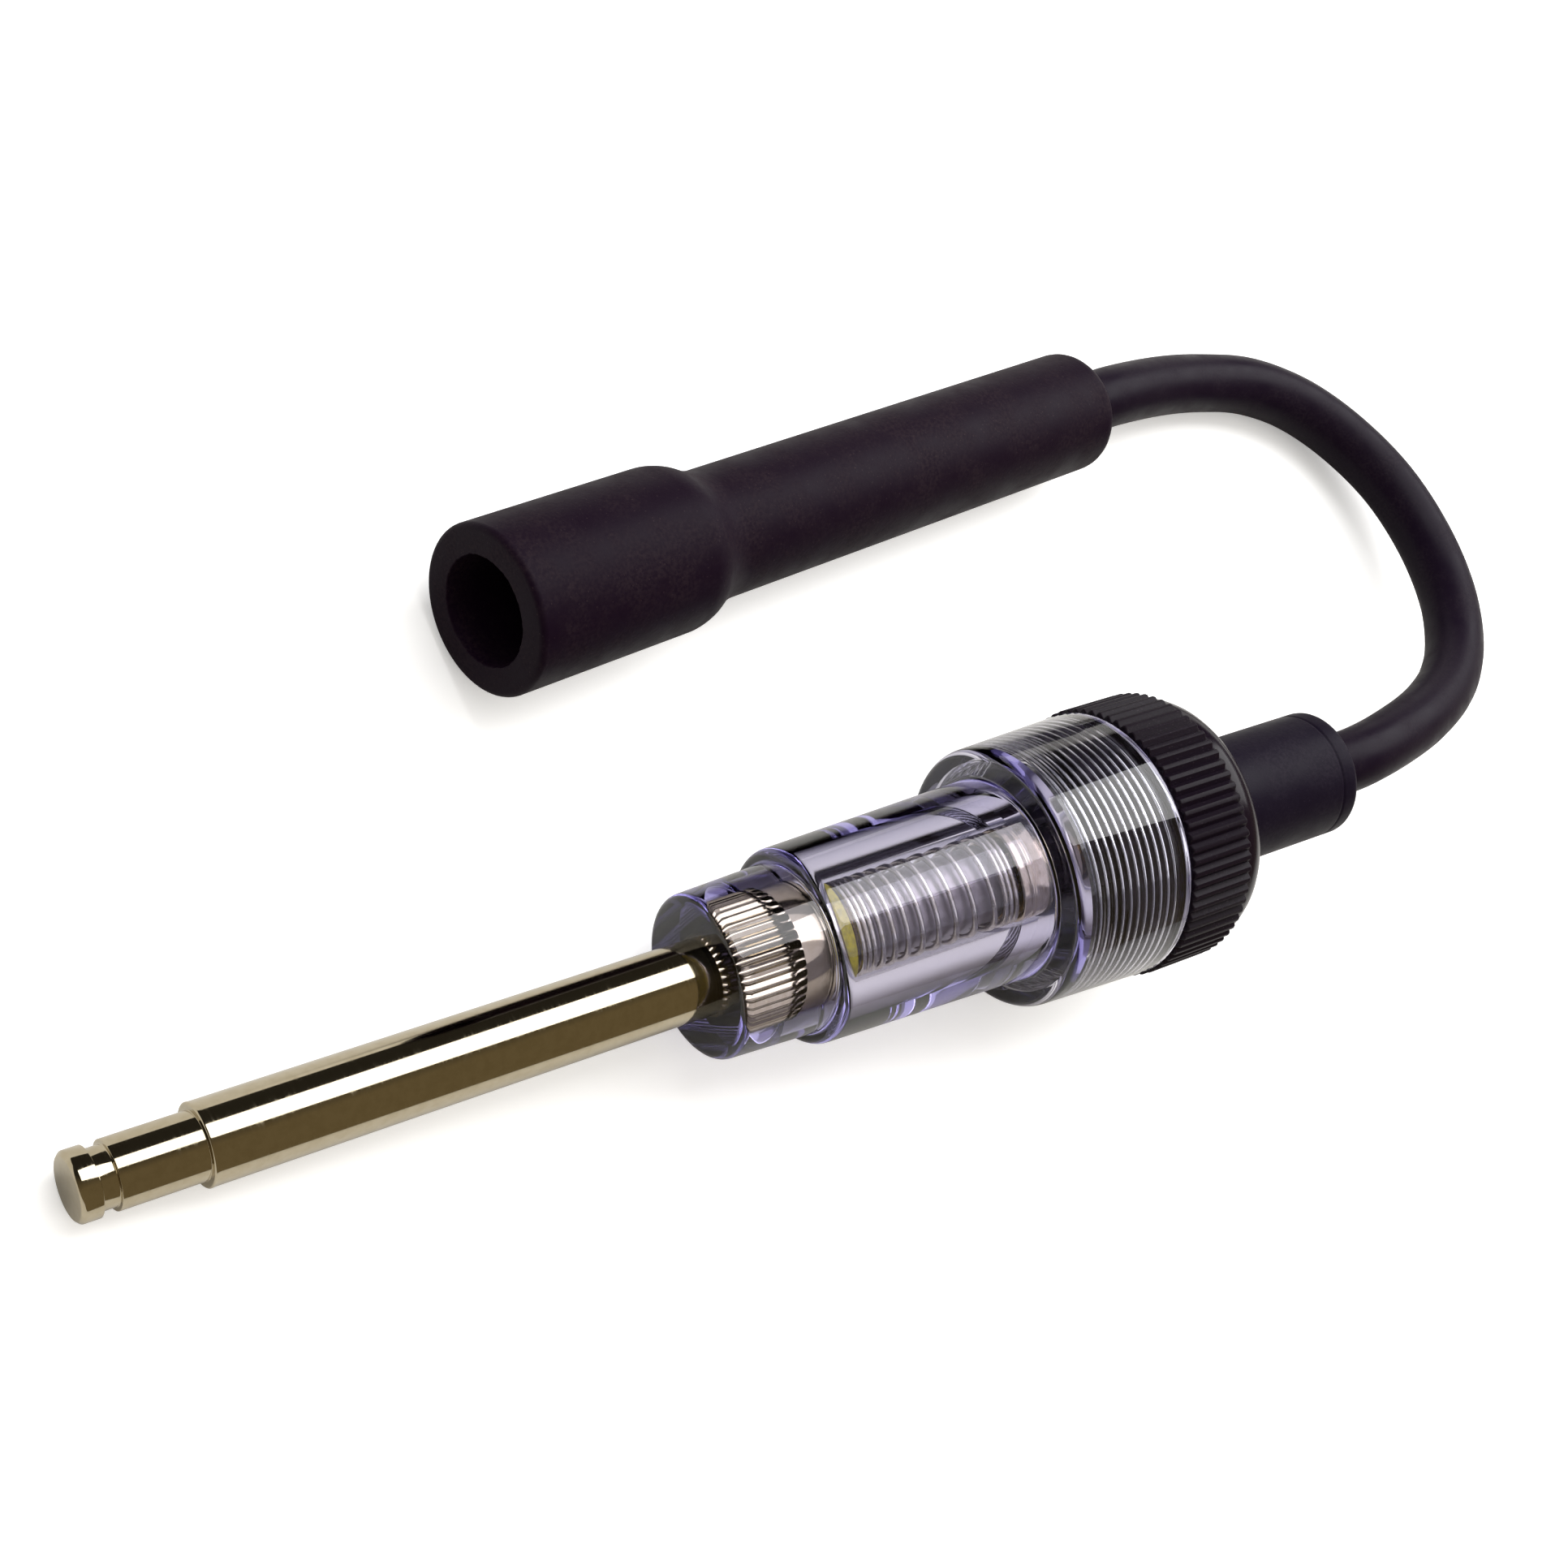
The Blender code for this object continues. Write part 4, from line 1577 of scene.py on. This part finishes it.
@dataclass(frozen=True)
class Studio:
    """Pale floor, soft lights, a dim room and the camera.

    The floor is brighter to the camera than to what it lights, and the room is brighter
    through the clear plastic than in reflections.
    """

    floor_size: float = 3.0
    floor_height: float = -0.0002
    floor_seen: Colour = (0.88, 0.88, 0.88)
    floor_around: Colour = (0.60, 0.59, 0.57)
    floor_glow: float = 0.35
    room_warm: Colour = (0.20, 0.155, 0.085)
    room_dark: Colour = (0.03, 0.027, 0.022)
    room_through: Colour = (0.36, 0.35, 0.40)
    softbox_at: tuple[float, float, float] = (0.28, 0.21, 0.47)
    softbox_size: tuple[float, float] = (1.0, 0.40)
    softbox_power: float = 5.0
    fill_strength: float = 2.3
    fill_spread: float = 120.0
    fill_turn: tuple[float, float, float] = (-12.0, 8.0, 0.0)
    camera_at: tuple[float, float, float] = (-0.16184, -0.00095, 0.22417)
    camera_turn: tuple[tuple[float, float, float], ...] = (
        (0.75564, 0.21458, -0.61884),
        (-0.31887, 0.94581, -0.0614),
        (0.57213, 0.24373, 0.78311),
    )
    lens: float = 61.92
    sensor: float = 36.0

    def camera(self) -> None:
        """Set up the camera."""
        data = bpy.data.cameras.new("camera")
        data.lens = self.lens
        data.sensor_width = self.sensor
        data.clip_start = 0.01
        data.clip_end = 20.0
        camera = bpy.data.objects.new("camera", data)
        camera.matrix_world = (
            Matrix.Translation(self.camera_at) @ Matrix(self.camera_turn).to_4x4()
        )
        bpy.context.scene.collection.objects.link(camera)
        bpy.context.scene.camera = camera

    def floor(self) -> None:
        """Lay the pale floor."""
        shape = bmesh.new()
        bmesh.ops.create_grid(shape, x_segments=1, y_segments=1, size=self.floor_size)
        mesh = bpy.data.meshes.new("floor")
        shape.to_mesh(mesh)
        shape.free()
        look = bpy.data.materials.new("floor")
        look.use_nodes = True
        graph = Graph(look.node_tree)
        direct = graph.add("LightPath").outputs["Is Camera Ray"]
        graph.feed(
            look.node_tree.nodes["Principled BSDF"],
            Base_Color=graph.mix(direct, self.floor_around, self.floor_seen),
            Emission_Color=(1, 1, 1, 1),
            Emission_Strength=graph.math("MULTIPLY", direct, self.floor_glow),
            Roughness=0.9,
            Specular_IOR_Level=0.1,
        )
        mesh.materials.append(look)
        floor = bpy.data.objects.new("floor", mesh)
        floor.location.z = self.floor_height
        bpy.context.scene.collection.objects.link(floor)

    def lights(self) -> None:
        """Hang the softbox and the even fill, in a dim warm room."""
        box = bpy.data.lights.new("softbox", "AREA")
        box.shape = "RECTANGLE"
        box.size, box.size_y = self.softbox_size
        box.energy = self.softbox_power
        softbox = bpy.data.objects.new("softbox", box)
        away = Vector(self.softbox_at).normalized()
        along = (Vector((1, 0, 0)) - away * away.x).normalized()
        turn = Matrix((along, away.cross(along), away)).transposed()
        softbox.matrix_world = Matrix.Translation(self.softbox_at) @ turn.to_4x4()
        bpy.context.scene.collection.objects.link(softbox)
        even = bpy.data.lights.new("even_fill", "SUN")
        even.angle = math.radians(self.fill_spread)
        even.energy = self.fill_strength
        fill = bpy.data.objects.new("even_fill", even)
        fill.rotation_euler = [math.radians(angle) for angle in self.fill_turn]
        fill.visible_glossy = False
        bpy.context.scene.collection.objects.link(fill)

    def room(self) -> None:
        """Give the room its dim warm side and its dark side, and set the plain view."""
        world = bpy.data.worlds.new("room")
        world.use_nodes = True
        graph = Graph(world.node_tree)
        background = world.node_tree.nodes["Background"]
        apart = graph.add("SeparateXYZ")
        graph.feed(apart, Vector=graph.add("TexCoord").outputs["Generated"])
        dark = graph.spread(apart.outputs["Y"], (-0.25, 0.35), (0, 1))
        sides = graph.mix(dark, self.room_warm, self.room_dark)
        through = graph.add("LightPath").outputs["Is Transmission Ray"]
        colour = graph.mix(through, sides, self.room_through)
        graph.feed(background, Color=colour, Strength=1.0)
        bpy.context.scene.world = world
        bpy.context.scene.view_settings.view_transform = "Standard"


def main() -> None:
    """Build the camera, the lead and every piece, then the stage."""
    logging.basicConfig(level=logging.INFO, format="%(name)s: %(message)s")
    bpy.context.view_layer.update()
    tester = Axle.of_joint("cap_turn", CAP_JOINT_STATION)
    boot_axle = Axle.of_joint("boot_turn", 0)
    studio = Studio()
    studio.camera()
    lead = Lead()
    lead_piece = lead.build(tester, boot_axle)
    Probe().build(tester)
    Housing().build(tester)
    SeatRing().build(tester)
    Spring().build(tester)
    Lamp().build(tester)
    TerminalCup().build(tester)
    Cap().build(tester)
    Sleeve().build(tester)
    boot = Boot().build(boot_axle)
    terminal = BootTerminal().build(boot_axle)
    dress_inner_nodes(tester, boot_axle)
    studio.floor()
    studio.lights()
    studio.room()


if __name__ == "__main__":
    main()
